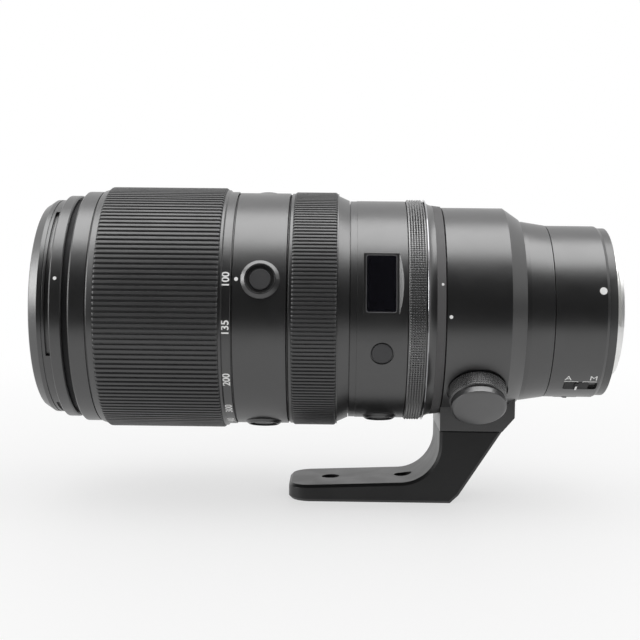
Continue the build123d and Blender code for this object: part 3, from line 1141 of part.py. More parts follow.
# Rear lens cell with the rectangular baffle behind its two lenses.
r_rear_bore = REAR_CELL_RADIUS - REAR_CELL_WALL
s_rear_cell = s_frame_rear - REAR_CELL_GAP
with BuildPart() as rear_cell:
    turn((REAR_CELL_BACK, r_rear_bore), (REAR_CELL_BACK, REAR_CELL_RADIUS),
         (s_rear_cell - REAR_CELL_FLANGE, REAR_CELL_RADIUS),
         (s_rear_cell - REAR_CELL_FLANGE, FLARE_BORE - SEAT_GAP),
         (s_rear_cell, FLARE_BORE - SEAT_GAP), (s_rear_cell, r_rear_bore))
    with BuildSketch(Plane.YZ.offset(-REAR_CELL_BACK)) as baffle:
        Circle(r_rear_bore + REAR_CELL_WALL / 2)
        Rectangle(BAFFLE_WIDTH, BAFFLE_HEIGHT, mode=Mode.SUBTRACT)
    extrude(baffle.sketch, amount=-BAFFLE_THICKNESS)
keep("rear_cell", rear_cell)

with BuildPart() as rear_elements:
    for station in REAR_ELEMENT_STATIONS:
        glass(station, station + REAR_ELEMENT_EDGE, r_rear_bore - SEAT_GAP, REAR_ELEMENT_SAG,
              REAR_ELEMENT_SAG)
keep("rear_elements", rear_elements)

# Stabiliser: a frame that moves sideways in its housing, and a lens cell that moves up and
# down on the frame.
s_vr_rear = VR_STATION - VR_LENGTH / 2
s_vr_frame = s_vr_rear + VR_FLOOR + VR_AXIAL_GAP
s_vr_cell = s_vr_frame + VR_FRAME_LENGTH + VR_AXIAL_GAP
r_vr_cell = VR_BORE - 2 * VR_SHIFT
with BuildPart() as vr_unit:
    turn((s_vr_rear, VR_FLOOR_BORE), (s_vr_rear, r_in_frame), (s_vr_rear + VR_LENGTH, r_in_frame),
         (s_vr_rear + VR_LENGTH, VR_BORE), (s_vr_rear + VR_FLOOR, VR_BORE),
         (s_vr_rear + VR_FLOOR, VR_FLOOR_BORE))
keep("vr_unit", vr_unit)

with BuildPart() as vr_frame:
    ring(s_vr_frame, s_vr_frame + VR_FRAME_LENGTH, VR_FRAME_BORE,
         VR_BORE - VR_SHIFT - VR_SIDE_GAP)
keep("vr_frame", vr_frame)

with BuildPart() as vr_cell:
    lens_cell(s_vr_cell, s_vr_cell + VR_CELL_LENGTH, r_vr_cell - VR_CELL_WALL, r_vr_cell)
keep("vr_cell", vr_cell)

with BuildPart() as vr_element:
    s_vr_glass = s_vr_cell + CELL_LIP + SEAT_GAP
    glass(s_vr_glass, s_vr_glass + VR_ELEMENT_EDGE, r_vr_cell - VR_CELL_WALL - SEAT_GAP,
          VR_ELEMENT_SAG, -VR_ELEMENT_SAG)
keep("vr_element", vr_element)

# Iris: nine blades parked round a full opening, and the ring that drives them.
s_iris_rear = IRIS_STATION - IRIS_LENGTH / 2
s_blades = s_iris_rear + IRIS_FLOOR + IRIS_BLADE
s_iris_ring = s_blades + IRIS_BLADES * IRIS_BLADE_PITCH + IRIS_BLADE
r_iris_bore = r_in_frame - IRIS_WALL
with BuildPart() as iris_housing:
    turn((s_iris_rear, IRIS_OPENING), (s_iris_rear, r_in_frame),
         (s_iris_rear + IRIS_LENGTH, r_in_frame), (s_iris_rear + IRIS_LENGTH, r_iris_bore),
         (s_iris_rear + IRIS_FLOOR, r_iris_bore), (s_iris_rear + IRIS_FLOOR, IRIS_OPENING))
keep("iris_housing", iris_housing)

with BuildPart() as iris_blades:
    for number in range(IRIS_BLADES):
        s_blade = s_blades + number * IRIS_BLADE_PITCH
        sector(s_blade, s_blade + IRIS_BLADE, IRIS_BLADE_INNER, IRIS_BLADE_OUTER,
               number * 360 / IRIS_BLADES, IRIS_BLADE_ARC)
keep("iris_blades", iris_blades)

with BuildPart() as iris_ring:
    ring(s_iris_ring, s_iris_ring + IRIS_RING_LENGTH, IRIS_RING_BORE, r_iris_bore - RUN_GAP)
keep("iris_ring", iris_ring)

# Focusing group: a small lens cell that two motors drive along their lead screws.
s_focus_cell = FOCUS_CELL_STATION - FOCUS_CELL_LENGTH / 2
s_motor = s_iris_rear - SEAT_GAP - MOTOR_LENGTH
r_focus_glass = FOCUS_CELL_RADIUS - FOCUS_CELL_WALL
motor_spots = PolarLocations(MOTOR_CIRCLE, MOTOR_COUNT)
with BuildPart() as focus_cell:
    lens_cell(s_focus_cell, s_focus_cell + FOCUS_CELL_LENGTH, r_focus_glass, FOCUS_CELL_RADIUS)
    for number in range(MOTOR_COUNT):
        block(FOCUS_CELL_STATION, number * 360 / MOTOR_COUNT, FOCUS_CELL_RADIUS - CELL_LIP,
              MOTOR_CIRCLE + FOCUS_ARM_WIDTH / 2, FOCUS_ARM_LENGTH, FOCUS_ARM_WIDTH)
    along(s_focus_cell, s_focus_cell + FOCUS_CELL_LENGTH, LEAD_SCREW_RADIUS + PIN_GAP,
          motor_spots, mode=Mode.SUBTRACT)
keep("focus_cell", focus_cell)

with BuildPart() as focus_element:
    s_focus_glass = s_focus_cell + CELL_LIP + SEAT_GAP
    glass(s_focus_glass, s_focus_glass + FOCUS_ELEMENT_EDGE, r_focus_glass - SEAT_GAP,
          -FOCUS_ELEMENT_SAG, -FOCUS_ELEMENT_SAG)
keep("focus_element", focus_element)

with BuildPart() as focus_motors:
    along(s_motor, s_motor + MOTOR_LENGTH, MOTOR_RADIUS, motor_spots)
    along(s_motor - LEAD_SCREW_LENGTH, s_motor, LEAD_SCREW_RADIUS, motor_spots)
keep("focus_motors", focus_motors)

# Zoom group: a lens cell whose followers run in the guide tube's second set of slots.
r_zoom_cell = GUIDE_BORE_RADIUS - RUN_GAP
r_zoom_glass = r_zoom_cell - ZOOM_CELL_WALL
s_ledge_rear = s_zoom_follower - ZOOM_LEDGE / 2
s_ledge_front = s_zoom_follower + ZOOM_LEDGE / 2
with BuildPart() as zoom_cell:
    turn((ZOOM_CELL_STATION, r_zoom_glass), (ZOOM_CELL_STATION, r_zoom_cell),
         (ZOOM_CELL_STATION + ZOOM_CELL_LENGTH, r_zoom_cell),
         (ZOOM_CELL_STATION + ZOOM_CELL_LENGTH, r_zoom_glass), (s_ledge_front, r_zoom_glass),
         (s_ledge_front, r_zoom_glass - CELL_LEDGE), (s_ledge_rear, r_zoom_glass - CELL_LEDGE),
         (s_ledge_rear, r_zoom_glass))
    for number in range(FOLLOWER_COUNT):
        post(s_zoom_follower, ZOOM_FOLLOWER_CLOCK + number * 360 / FOLLOWER_COUNT,
             r_zoom_cell - CELL_LIP, R_GUIDE, FOLLOWER_RADIUS)
keep("zoom_cell", zoom_cell)

with BuildPart() as zoom_elements:
    glass(s_ledge_rear - SEAT_GAP - ZOOM_ELEMENT_EDGE, s_ledge_rear - SEAT_GAP,
          r_zoom_glass - SEAT_GAP, -ZOOM_ELEMENT_HOLLOW, ZOOM_ELEMENT_SAG)
    glass(s_ledge_front + SEAT_GAP, s_ledge_front + SEAT_GAP + ZOOM_ELEMENT_EDGE,
          r_zoom_glass - SEAT_GAP, ZOOM_ELEMENT_SAG, -ZOOM_ELEMENT_HOLLOW)
keep("zoom_elements", zoom_elements)

os.makedirs("parts", exist_ok=True)
for name, piece in parts.items():
    export_step(piece, f"parts/{name}.step")
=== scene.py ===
"""Looks of a telephoto zoom lens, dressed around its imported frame.

Lengths are in metres and share the frame's axes. The optical axis is X, the camera mount is at
the origin and the front glass looks towards -X. A station is a distance in front of the mount
flange, so a station s lies at x = -s. A clock angle turns about the axis: 0 faces -Y, 90 is up.
Angles are in degrees unless a docstring says radians, and colours are linear.
"""

import json
import logging
import math
from dataclasses import dataclass, field
from enum import Enum

import bpy
import numpy as np
from mathutils import Matrix, Vector

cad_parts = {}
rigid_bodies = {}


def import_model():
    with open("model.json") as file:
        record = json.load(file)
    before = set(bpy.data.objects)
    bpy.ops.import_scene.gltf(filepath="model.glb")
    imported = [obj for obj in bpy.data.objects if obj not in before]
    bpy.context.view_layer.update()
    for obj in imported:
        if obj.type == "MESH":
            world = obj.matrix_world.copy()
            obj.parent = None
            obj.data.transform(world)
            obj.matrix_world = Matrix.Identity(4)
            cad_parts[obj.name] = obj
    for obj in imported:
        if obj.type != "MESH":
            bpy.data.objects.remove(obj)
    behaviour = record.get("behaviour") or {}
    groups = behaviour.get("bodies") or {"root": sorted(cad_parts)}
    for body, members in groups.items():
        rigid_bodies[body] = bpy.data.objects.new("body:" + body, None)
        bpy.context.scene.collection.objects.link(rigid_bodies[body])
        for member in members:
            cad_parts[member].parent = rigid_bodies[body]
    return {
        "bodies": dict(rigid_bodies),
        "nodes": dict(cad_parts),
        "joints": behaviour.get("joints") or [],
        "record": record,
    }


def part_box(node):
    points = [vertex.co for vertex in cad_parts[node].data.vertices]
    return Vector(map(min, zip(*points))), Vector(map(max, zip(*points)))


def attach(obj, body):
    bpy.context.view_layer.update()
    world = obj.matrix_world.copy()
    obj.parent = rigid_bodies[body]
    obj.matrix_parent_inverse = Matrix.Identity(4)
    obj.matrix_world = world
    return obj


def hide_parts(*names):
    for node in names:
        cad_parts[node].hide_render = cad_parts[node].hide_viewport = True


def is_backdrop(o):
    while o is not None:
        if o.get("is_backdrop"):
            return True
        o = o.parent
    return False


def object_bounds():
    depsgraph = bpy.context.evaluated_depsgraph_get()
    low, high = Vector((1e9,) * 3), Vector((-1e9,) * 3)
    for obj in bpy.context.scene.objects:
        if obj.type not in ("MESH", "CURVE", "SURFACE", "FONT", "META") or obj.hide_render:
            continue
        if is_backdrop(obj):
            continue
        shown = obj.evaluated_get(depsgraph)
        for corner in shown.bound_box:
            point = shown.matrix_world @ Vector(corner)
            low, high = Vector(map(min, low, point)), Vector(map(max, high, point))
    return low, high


LOG = logging.getLogger("lens")
MM = 0.001
Colour = tuple[float, float, float]
Triple = tuple[float, float, float]
Shares = tuple[float, ...]
Feed = bpy.types.NodeSocket | float
WHITE = (1.0, 1.0, 1.0, 1.0)

# Clock angle of the index marks and the display, and radius of the rear barrel.
BODY_CLOCK = 16.8
REAR_RADIUS = 35.0 * MM


class Slot(Enum):
    """Finishes: the material slots of the record, then four that only the scene has."""

    SATIN = "satin_black"
    FOOT = "foot_black"
    KNOB = "knob_black"
    TRIM = "trim_gloss"
    GRIP = "grip_rubber"
    BUTTON = "button_plastic"
    SLIDER = "slider_plastic"
    MOUNT = "bare_metal"
    INNER_BLACK = "inner_black"
    INNER_METAL = "inner_metal"
    STEEL = "steel"
    GOLD = "contact_gold"
    CONTACT_BLOCK = "contact_plastic"
    SEAL = "seal_rubber"
    GLASS = "lens_glass"
    WINDOW = "display_cover"
    SCREEN = "display_panel"
    BOARD = "board_green"
    PRINT = "white_print"
    WINDOW_EDGE = "window_edge"
    INDEX_SATIN = "index_satin"
    STUD_SATIN = "stud_satin"


class Reading(Enum):
    """How lettering lies on a barrel."""

    UPRIGHT = "upright"
    UPWARDS = "upwards"


# Node building.


class NodeSketch:
    """Adds nodes to one node tree, so that a finish reads as a short list of steps."""

    def __init__(self, tree: bpy.types.NodeTree) -> None:
        """Keep the tree that the nodes go into.

        Args:
            tree: Node tree of a material, world or group.
        """
        self.tree = tree

    def add(self, kind: str, inputs: dict | None = None, **settings: object) -> bpy.types.Node:
        """Add one node.

        Args:
            kind: Blender's type name of the node.
            inputs: Value or linked socket for each input, by name or number.
            **settings: Properties of the node.

        Returns:
            The new node.
        """
        node = self.tree.nodes.new(kind)
        for key, value in settings.items():
            setattr(node, key, value)
        for key, value in (inputs or {}).items():
            if isinstance(value, bpy.types.NodeSocket):
                self.tree.links.new(value, node.inputs[key])
            else:
                node.inputs[key].default_value = value
        return node

    def group(self, tree: bpy.types.NodeTree, **inputs: float) -> bpy.types.Node:
        """Place a shared group, with its numbers given by name."""
        return self.add("ShaderNodeGroup", inputs, node_tree=tree)

    def finish(self, shader: bpy.types.Node) -> None:
        """Send a shader to the surface of the material."""
        self.add("ShaderNodeOutputMaterial", {"Surface": shader.outputs[0]})

    def place(self) -> bpy.types.NodeSocket:
        """Point of the surface in the piece's own coordinates."""
        return self.add("ShaderNodeTexCoord").outputs["Object"]

    def noise(self, inputs: dict, **settings: str) -> bpy.types.NodeSocket:
        """Add a noise with these inputs and return its value."""
        return self.add("ShaderNodeTexNoise", inputs, **settings).outputs["Fac"]

    def math(self, operation: str, *values: Feed, clamp: bool = False) -> bpy.types.NodeSocket:
        """Add a Math node and return its result."""
        node = self.add("ShaderNodeMath", dict(enumerate(values)), operation=operation,
                        use_clamp=clamp)
        return node.outputs[0]

    def spread(self, value: Feed, low: float, high: float) -> bpy.types.NodeSocket:
        """Carry a value from 0 to 1 over to the span from low to high."""
        node = self.add("ShaderNodeMapRange", {"Value": value, "To Min": low, "To Max": high})
        return node.outputs["Result"]

    def blend(self, share: Feed, first: Feed | tuple, second: Feed | tuple) -> bpy.types.NodeSocket:
        """Mix two colours by a share."""
        node = self.add("ShaderNodeMix", {0: share, 6: first, 7: second}, data_type="RGBA")
        return node.outputs[2]


class GroupMaker:
    """One shared node group with named inputs and outputs."""

    def __init__(self, name: str, inputs: dict[str, float], outputs: dict[str, str]) -> None:
        """Open a new group.

        Args:
            name: Name of the group.
            inputs: Default of each number that goes in.
            outputs: Socket type of each result.
        """
        self.group = bpy.data.node_groups.new(name, "ShaderNodeTree")
        for label, default in inputs.items():
            socket = self.group.interface.new_socket(name=label, in_out="INPUT",
                                                     socket_type="NodeSocketFloat")
            socket.default_value = default
        for label, kind in outputs.items():
            self.group.interface.new_socket(name=label, in_out="OUTPUT", socket_type=kind)
        self.sketch = NodeSketch(self.group)
        self.given = self.sketch.add("NodeGroupInput").outputs
        self.result = self.sketch.add("NodeGroupOutput")

    def put(self, label: str, socket: bpy.types.NodeSocket) -> None:
        """Send a socket to one of the group's outputs."""
        self.group.links.new(socket, self.result.inputs[label])


class ShaderKit:
    """The effects that several finishes share, each made once as a node group."""

    coarse_share: float = 0.22

    def __init__(self) -> None:
        """Build all the groups."""
        self.grain = self._grain()
        self.edges = self._edges()
        self.handling = self._handling()
        self.turning = self._turning()

    def _grain(self) -> bpy.types.NodeTree:
        """Fine grain of a sprayed or moulded face: two sizes of noise added together.

        Returns:
            Group with inputs Size and Coarse, and outputs Height and Speckle.
        """
        maker = GroupMaker("surface_grain", {"Size": 0.3 * MM, "Coarse": 0.25},
                           {"Height": "NodeSocketFloat", "Speckle": "NodeSocketFloat"})
        sketch = maker.sketch
        place = sketch.place()
        fine_scale = sketch.math("DIVIDE", 1.0, maker.given["Size"])
        coarse_scale = sketch.math("MULTIPLY", fine_scale, self.coarse_share)
        fine = sketch.noise({"Vector": place, "Scale": fine_scale, "Detail": 2.0,
                             "Roughness": 0.6})
        coarse = sketch.noise({"Vector": place, "Scale": coarse_scale, "Detail": 1.0,
                               "Roughness": 0.5})
        coarse_part = sketch.math("MULTIPLY", coarse, maker.given["Coarse"])
        maker.put("Height", sketch.math("ADD", fine, coarse_part))
        maker.put("Speckle", fine)
        return maker.group

    def _edges(self) -> bpy.types.NodeTree:
        """Rounded edges, and where handling has polished them.

        The mask is one minus the dot product of the rounded and the true normal, made patchy by
        a noise.

        Returns:
            Group with inputs Width, Gain and Patchiness, and outputs Normal and Mask.
        """
        maker = GroupMaker("handled_edges", {"Width": 0.2 * MM, "Gain": 6.0, "Patchiness": 0.5},
                           {"Normal": "NodeSocketVector", "Mask": "NodeSocketFloat"})
        sketch = maker.sketch
        rounded = sketch.add("ShaderNodeBevel", {"Radius": maker.given["Width"]}, samples=4)
        true = sketch.add("ShaderNodeNewGeometry").outputs["Normal"]
        both = sketch.add("ShaderNodeVectorMath", {0: rounded.outputs["Normal"], 1: true},
                          operation="DOT_PRODUCT")
        apart = sketch.math("SUBTRACT", 1.0, both.outputs["Value"])
        gained = sketch.math("MULTIPLY", apart, maker.given["Gain"], clamp=True)
        patches = sketch.noise({"Vector": sketch.place(), "Scale": 160.0, "Detail": 3.0})
        patch_share = sketch.math("MULTIPLY", patches, maker.given["Patchiness"])
        kept = sketch.math("SUBTRACT", 1.0, patch_share)
        maker.put("Mask", sketch.math("MULTIPLY", gained, kept))
        maker.put("Normal", rounded.outputs["Normal"])
        return maker.group

    def _handling(self) -> bpy.types.NodeTree:
        """Broad smudges and a little settled dust, as one value from 0 to 1.

        Returns:
            Group with input Breadth and output Mask.
        """
        maker = GroupMaker("handling_marks", {"Breadth": 12.0 * MM}, {"Mask": "NodeSocketFloat"})
        sketch = maker.sketch
        scale = sketch.math("DIVIDE", 1.0, maker.given["Breadth"])
        broad = sketch.noise({"Vector": sketch.place(), "Scale": scale, "Detail": 4.0,
                              "Roughness": 0.55, "Distortion": 0.6})
        shaped = sketch.add("ShaderNodeMapRange", {"Value": broad, "From Min": 0.35,
                                                   "From Max": 0.65})
        maker.put("Mask", shaped.outputs["Result"])
        return maker.group

    def _turning(self) -> bpy.types.NodeTree:
        """Tool marks of a turned face: a one-way noise of station plus distance from the axis.

        Returns:
            Group with input Pitch and outputs Height and Tone.
        """
        maker = GroupMaker("turning_marks", {"Pitch": 0.1 * MM},
                           {"Height": "NodeSocketFloat", "Tone": "NodeSocketFloat"})
        sketch = maker.sketch
        x, y, z = sketch.add("ShaderNodeSeparateXYZ", {"Vector": sketch.place()}).outputs
        squares = [sketch.math("MULTIPLY", part, part) for part in (y, z)]
        along = sketch.math("ADD", x, sketch.math("SQRT", sketch.math("ADD", *squares)))
        turns = sketch.math("DIVIDE", along, maker.given["Pitch"])
        for label, scale, detail in (("Height", 1.0, 2.0), ("Tone", 0.07, 1.0)):
            maker.put(label, sketch.noise({"W": turns, "Scale": scale, "Detail": detail},
                                          noise_dimensions="1D"))
        return maker.group


def shader_sketch(name: str) -> tuple[bpy.types.Material, NodeSketch]:
    """Open an empty node material.

    Args:
        name: Name of the material.

    Returns:
        The material, and a sketch of its tree.
    """
    material = bpy.data.materials.new(name)
    material.use_nodes = True
    material.node_tree.nodes.clear()
    return material, NodeSketch(material.node_tree)


@dataclass(frozen=True)
class Coating:
    """An opaque finish: coated or bare metal, plastic or rubber."""

    colour: Colour
    edge_colour: Colour
    roughness: float
    roughness_spread: float = 0.06
    metallic: float = 0.0
    specular: float = 0.5
    ior: float = 1.5
    coat: float = 0.0
    coat_roughness: float = 0.1
    grain_size: float = 0.3 * MM
    grain_depth: float = 0.006 * MM
    speckle: float = 0.12
    edge_width: float = 0.18 * MM
    edge_gain: float = 3.0
    turned_pitch: float = 0.0
    turned_depth: float = 0.0
    turned_tone: float = 0.35

    def build(self, name: str, kit: ShaderKit) -> bpy.types.Material:
        """Make the material.

        Args:
            name: Name of the finish.
            kit: Shared groups.

        Returns:
            The finished material.
        """
        material, sketch = shader_sketch(name)
        grain = sketch.group(kit.grain, Size=self.grain_size)
        edges = sketch.group(kit.edges, Width=self.edge_width, Gain=self.edge_gain)
        handling = sketch.group(kit.handling)
        darker = (*(part * (1.0 - self.speckle) for part in self.colour), 1.0)
        lighter = (*(part * (1.0 + self.speckle) for part in self.colour), 1.0)
        base = sketch.blend(grain.outputs["Speckle"], darker, lighter)
        base = sketch.blend(edges.outputs["Mask"], base, (*self.edge_colour, 1.0))
        roughness = sketch.spread(handling.outputs["Mask"], self.roughness - self.roughness_spread,
                                  self.roughness + self.roughness_spread)
        normal = sketch.add("ShaderNodeBump", {"Distance": self.grain_depth,
                                               "Height": grain.outputs["Height"],
                                               "Normal": edges.outputs["Normal"]})
        if self.turned_depth:
            turning = sketch.group(kit.turning, Pitch=self.turned_pitch)
            tone = sketch.spread(turning.outputs["Tone"], 0.0, self.turned_tone)
            base = sketch.blend(tone, base, darker)
            normal = sketch.add("ShaderNodeBump", {"Distance": self.turned_depth,
                                                   "Height": turning.outputs["Height"],
                                                   "Normal": normal.outputs["Normal"]})
        surface = sketch.add("ShaderNodeBsdfPrincipled", {
            "Base Color": base, "Roughness": roughness, "Metallic": self.metallic,
            "Specular IOR Level": self.specular, "IOR": self.ior, "Coat Weight": self.coat,
            "Coat Roughness": self.coat_roughness, "Normal": normal.outputs["Normal"]})
        sketch.finish(surface)
        return material


@dataclass(frozen=True)
class ClearGlass:
    """Polished glass with a faint film of dust."""

    tint: Colour
    reflection: Colour
    ior: float
    dust: float = 0.02
    dusty_share: float = 0.97

    def build(self, name: str, kit: ShaderKit) -> bpy.types.Material:
        """Make the material.

        Args:
            name: Name of the finish.
            kit: Shared groups.

        Returns:
            The finished material.
        """
        material, sketch = shader_sketch(name)
        mask = sketch.group(kit.handling).outputs["Mask"]
        roughness = sketch.spread(mask, 0.0, self.dust)
        dusty = tuple(part * self.dusty_share for part in self.tint)
        base = sketch.blend(mask, (*self.tint, 1.0), (*dusty, 1.0))
        surface = sketch.add("ShaderNodeBsdfPrincipled", {
            "Base Color": base, "Roughness": roughness, "Transmission Weight": 1.0,
            "IOR": self.ior, "Specular Tint": (*self.reflection, 1.0)})
        sketch.finish(surface)
        return material


FINISHES: dict[Slot, Coating | ClearGlass] = {
    Slot.SATIN: Coating((0.011, 0.011, 0.0115), (0.03, 0.03, 0.031), roughness=0.33,
                        roughness_spread=0.02, specular=0.9, ior=1.6, grain_size=0.35 * MM,
                        grain_depth=0.012 * MM),
    Slot.FOOT: Coating((0.004, 0.004, 0.0045), (0.03, 0.03, 0.031), roughness=0.4,
                       roughness_spread=0.03, specular=0.45, ior=1.52, grain_size=0.3 * MM,
                       grain_depth=0.016 * MM, edge_width=0.3 * MM),
    Slot.KNOB: Coating((0.018, 0.018, 0.019), (0.05, 0.05, 0.052), roughness=0.36,
                       roughness_spread=0.03, specular=1.0, ior=1.65, grain_size=0.25 * MM,
                       grain_depth=0.008 * MM),
    Slot.TRIM: Coating((0.32, 0.32, 0.33), (0.5, 0.5, 0.51), roughness=0.14,
                       roughness_spread=0.03, metallic=1.0, coat=0.3, coat_roughness=0.05,
                       grain_depth=0.001 * MM, edge_width=0.02 * MM),
    Slot.GRIP: Coating((0.04, 0.04, 0.041), (0.05, 0.05, 0.051), roughness=0.42,
                       roughness_spread=0.04, specular=0.7, grain_size=0.22 * MM,
                       grain_depth=0.01 * MM, speckle=0.2, edge_width=0.1 * MM),
    Slot.BUTTON: Coating((0.03, 0.03, 0.032), (0.05, 0.05, 0.052), roughness=0.5,
                         roughness_spread=0.04, specular=0.6, grain_size=0.2 * MM,
                         grain_depth=0.01 * MM),
    Slot.SLIDER: Coating((0.006, 0.006, 0.0065), (0.04, 0.04, 0.042), roughness=0.5,
                         specular=0.3, grain_size=0.4 * MM, grain_depth=0.06 * MM),
    Slot.MOUNT: Coating((0.9, 0.9, 0.89), (0.95, 0.95, 0.94), roughness=0.52, metallic=1.0,
                        grain_depth=0.001 * MM, speckle=0.03, turned_pitch=0.12 * MM,
                        turned_depth=0.002 * MM),
    Slot.INNER_BLACK: Coating((0.008, 0.008, 0.009), (0.015, 0.015, 0.016), roughness=0.6,
                              specular=0.3, grain_size=0.25 * MM, grain_depth=0.012 * MM),
    Slot.INNER_METAL: Coating((0.42, 0.42, 0.43), (0.6, 0.6, 0.61), roughness=0.35,
                              metallic=1.0, grain_depth=0.002 * MM, speckle=0.04,
                              turned_pitch=0.2 * MM, turned_depth=0.003 * MM),
    Slot.STEEL: Coating((0.55, 0.55, 0.56), (0.75, 0.75, 0.76), roughness=0.28, metallic=1.0,
                        grain_depth=0.002 * MM, speckle=0.05),
    Slot.GOLD: Coating((0.83, 0.62, 0.28), (0.95, 0.78, 0.45), roughness=0.2, metallic=1.0,
                       grain_depth=0.001 * MM, speckle=0.05),
    Slot.CONTACT_BLOCK: Coating((0.02, 0.02, 0.021), (0.04, 0.04, 0.041), roughness=0.45,
                                grain_size=0.2 * MM, grain_depth=0.006 * MM),
    Slot.SEAL: Coating((0.03, 0.03, 0.03), (0.05, 0.05, 0.05), roughness=0.36, specular=0.9,
                       grain_size=0.2 * MM, grain_depth=0.006 * MM, speckle=0.25),
    Slot.GLASS: ClearGlass((0.93, 0.97, 0.95), (0.55, 0.85, 0.7), ior=1.6),
    Slot.WINDOW: ClearGlass((0.10, 0.10, 0.12), (0.9, 0.88, 1.0), ior=1.5, dust=0.03),
    Slot.SCREEN: Coating((0.012, 0.009, 0.018), (0.02, 0.018, 0.025), roughness=0.2,
                         coat=0.5, grain_depth=0.001 * MM),
    Slot.STUD_SATIN: Coating((0.008, 0.008, 0.0085), (0.05, 0.05, 0.051), roughness=0.38,
                             specular=1.0, ior=1.9, grain_depth=0.001 * MM),
    Slot.WINDOW_EDGE: Coating((0.12, 0.118, 0.122), (0.12, 0.12, 0.125), roughness=0.3,
                              grain_depth=0.001 * MM),
    Slot.INDEX_SATIN: Coating((0.08, 0.078, 0.079), (0.1, 0.1, 0.101), roughness=0.6,
                              roughness_spread=0.04, specular=0.5, grain_size=0.25 * MM,
                              grain_depth=0.008 * MM, turned_pitch=0.1 * MM,
                              turned_depth=0.002 * MM),
    Slot.BOARD: Coating((0.02, 0.12, 0.06), (0.4, 0.33, 0.15), roughness=0.45,
                        grain_size=1.5 * MM, grain_depth=0.02 * MM, speckle=0.5),
    Slot.PRINT: Coating((0.82, 0.82, 0.81), (0.85, 0.85, 0.84), roughness=0.5,
                        grain_depth=0.002 * MM, speckle=0.03, edge_width=0.02 * MM,
                        edge_gain=1.0),
}


# Meshes from arrays.


def ease(share: np.ndarray) -> np.ndarray:
    """Smooth step: three times the square less twice the cube of a share held from 0 to 1."""
    held = np.clip(share, 0.0, 1.0)
    return held * held * (3.0 - 2.0 * held)


def in_pitches(count: int, steps: Shares | np.ndarray, pitch: float,
               start: float = 0.0) -> np.ndarray:
    """Places at start + (number + step) * pitch, for each number below count and each step."""
    return (start + (np.arange(count)[:, None] + np.asarray(steps)) * pitch).ravel()


def full_turn(count: int, steps: Shares | np.ndarray = (0.0,)) -> np.ndarray:
    """Angles in radians round a circle of count pitches, at each step's share of each pitch."""
    return in_pitches(count, steps, 2.0 * math.pi / count)


def outward(clock: float) -> Triple:
    """Unit direction straight out from the axis at a clock angle in degrees."""
    turn = math.radians(clock)
    return 0.0, -math.cos(turn), math.sin(turn)


@dataclass(frozen=True)
class TurningAxis:
    """A line that a profile is turned about."""

    origin: Triple
    along: Triple
    across: Triple

    def place(self, height: np.ndarray, radius: np.ndarray, angle: np.ndarray) -> np.ndarray:
        """Points at origin + height * along + radius * (cos * across + sin * third).

        Args:
            height: Distances along the axis.
            radius: Distances from it.
            angle: Angles in radians from the direction across.

        Returns:
            Array of points, shaped as the three arrays broadcast together.
        """
        along, across = np.array(self.along), np.array(self.across)
        third = np.cross(along, across)
        height, radius, angle = np.broadcast_arrays(height, radius, angle)
        outwards = np.cos(angle)[..., None] * across + np.sin(angle)[..., None] * third
        return np.array(self.origin) + height[..., None] * along + radius[..., None] * outwards


OPTICAL_AXIS = TurningAxis((0.0, 0.0, 0.0), (-1.0, 0.0, 0.0), (0.0, -1.0, 0.0))


def signed_volume(points: np.ndarray, triangles: np.ndarray) -> float:
    """Sum over triangles of a . (b x c) / 6, which is positive when faces point outwards."""
    a, b, c = (points[triangles[:, corner]] for corner in range(3))
    return float(np.einsum("ij,ij->i", a, np.cross(b, c)).sum() / 6.0)


def grid_mesh(name: str, grid: np.ndarray, poles: np.ndarray | None = None,
              sharp_angle: float = 40.0) -> bpy.types.Mesh:
    """Join a grid of points into a closed mesh.

    The columns always run round. The rows run round too, unless there are poles: then a fan of
    triangles closes the first row at the first pole, and the last row at the second.

    Args:
        name: Name of the mesh.
        grid: Points, shaped rows by columns by 3.
        poles: Two points, or None.
        sharp_angle: Edges that turn by more degrees than this stay sharp.

    Returns:
        The mesh, with its faces outwards.
    """
    rows, columns = grid.shape[:2]
    points = grid.reshape(-1, 3)
    here = np.arange(rows * columns).reshape(rows, columns)
    beside = np.roll(here, -1, axis=1)
    if poles is None:
        quads = np.stack([here, beside, np.roll(beside, -1, axis=0), np.roll(here, -1, axis=0)],
                         axis=-1).reshape(-1, 4)
        fans = np.zeros((0, 3), int)
    else:
        quads = np.stack([here[:-1], beside[:-1], beside[1:], here[1:]], axis=-1).reshape(-1, 4)
        first, last = len(points), len(points) + 1
        points = np.vstack([points, poles])
        start = np.stack([np.full(columns, first), beside[0], here[0]], axis=-1)
        end = np.stack([np.full(columns, last), here[-1], beside[-1]], axis=-1)
        fans = np.vstack([start, end])
    triangles = np.vstack([quads[:, [0, 1, 2]], quads[:, [0, 2, 3]], fans])
    if signed_volume(points, triangles) < 0:
        quads, fans = quads[:, ::-1], fans[:, ::-1]
    mesh = bpy.data.meshes.new(name)
    mesh.from_pydata(points.tolist(), [], quads.tolist() + fans.tolist())
    mesh.polygons.foreach_set("use_smooth", np.ones(len(mesh.polygons), bool))
    mesh.set_sharp_from_angle(angle=math.radians(sharp_angle))
    mesh.update()
    return mesh


# Print on the barrels.


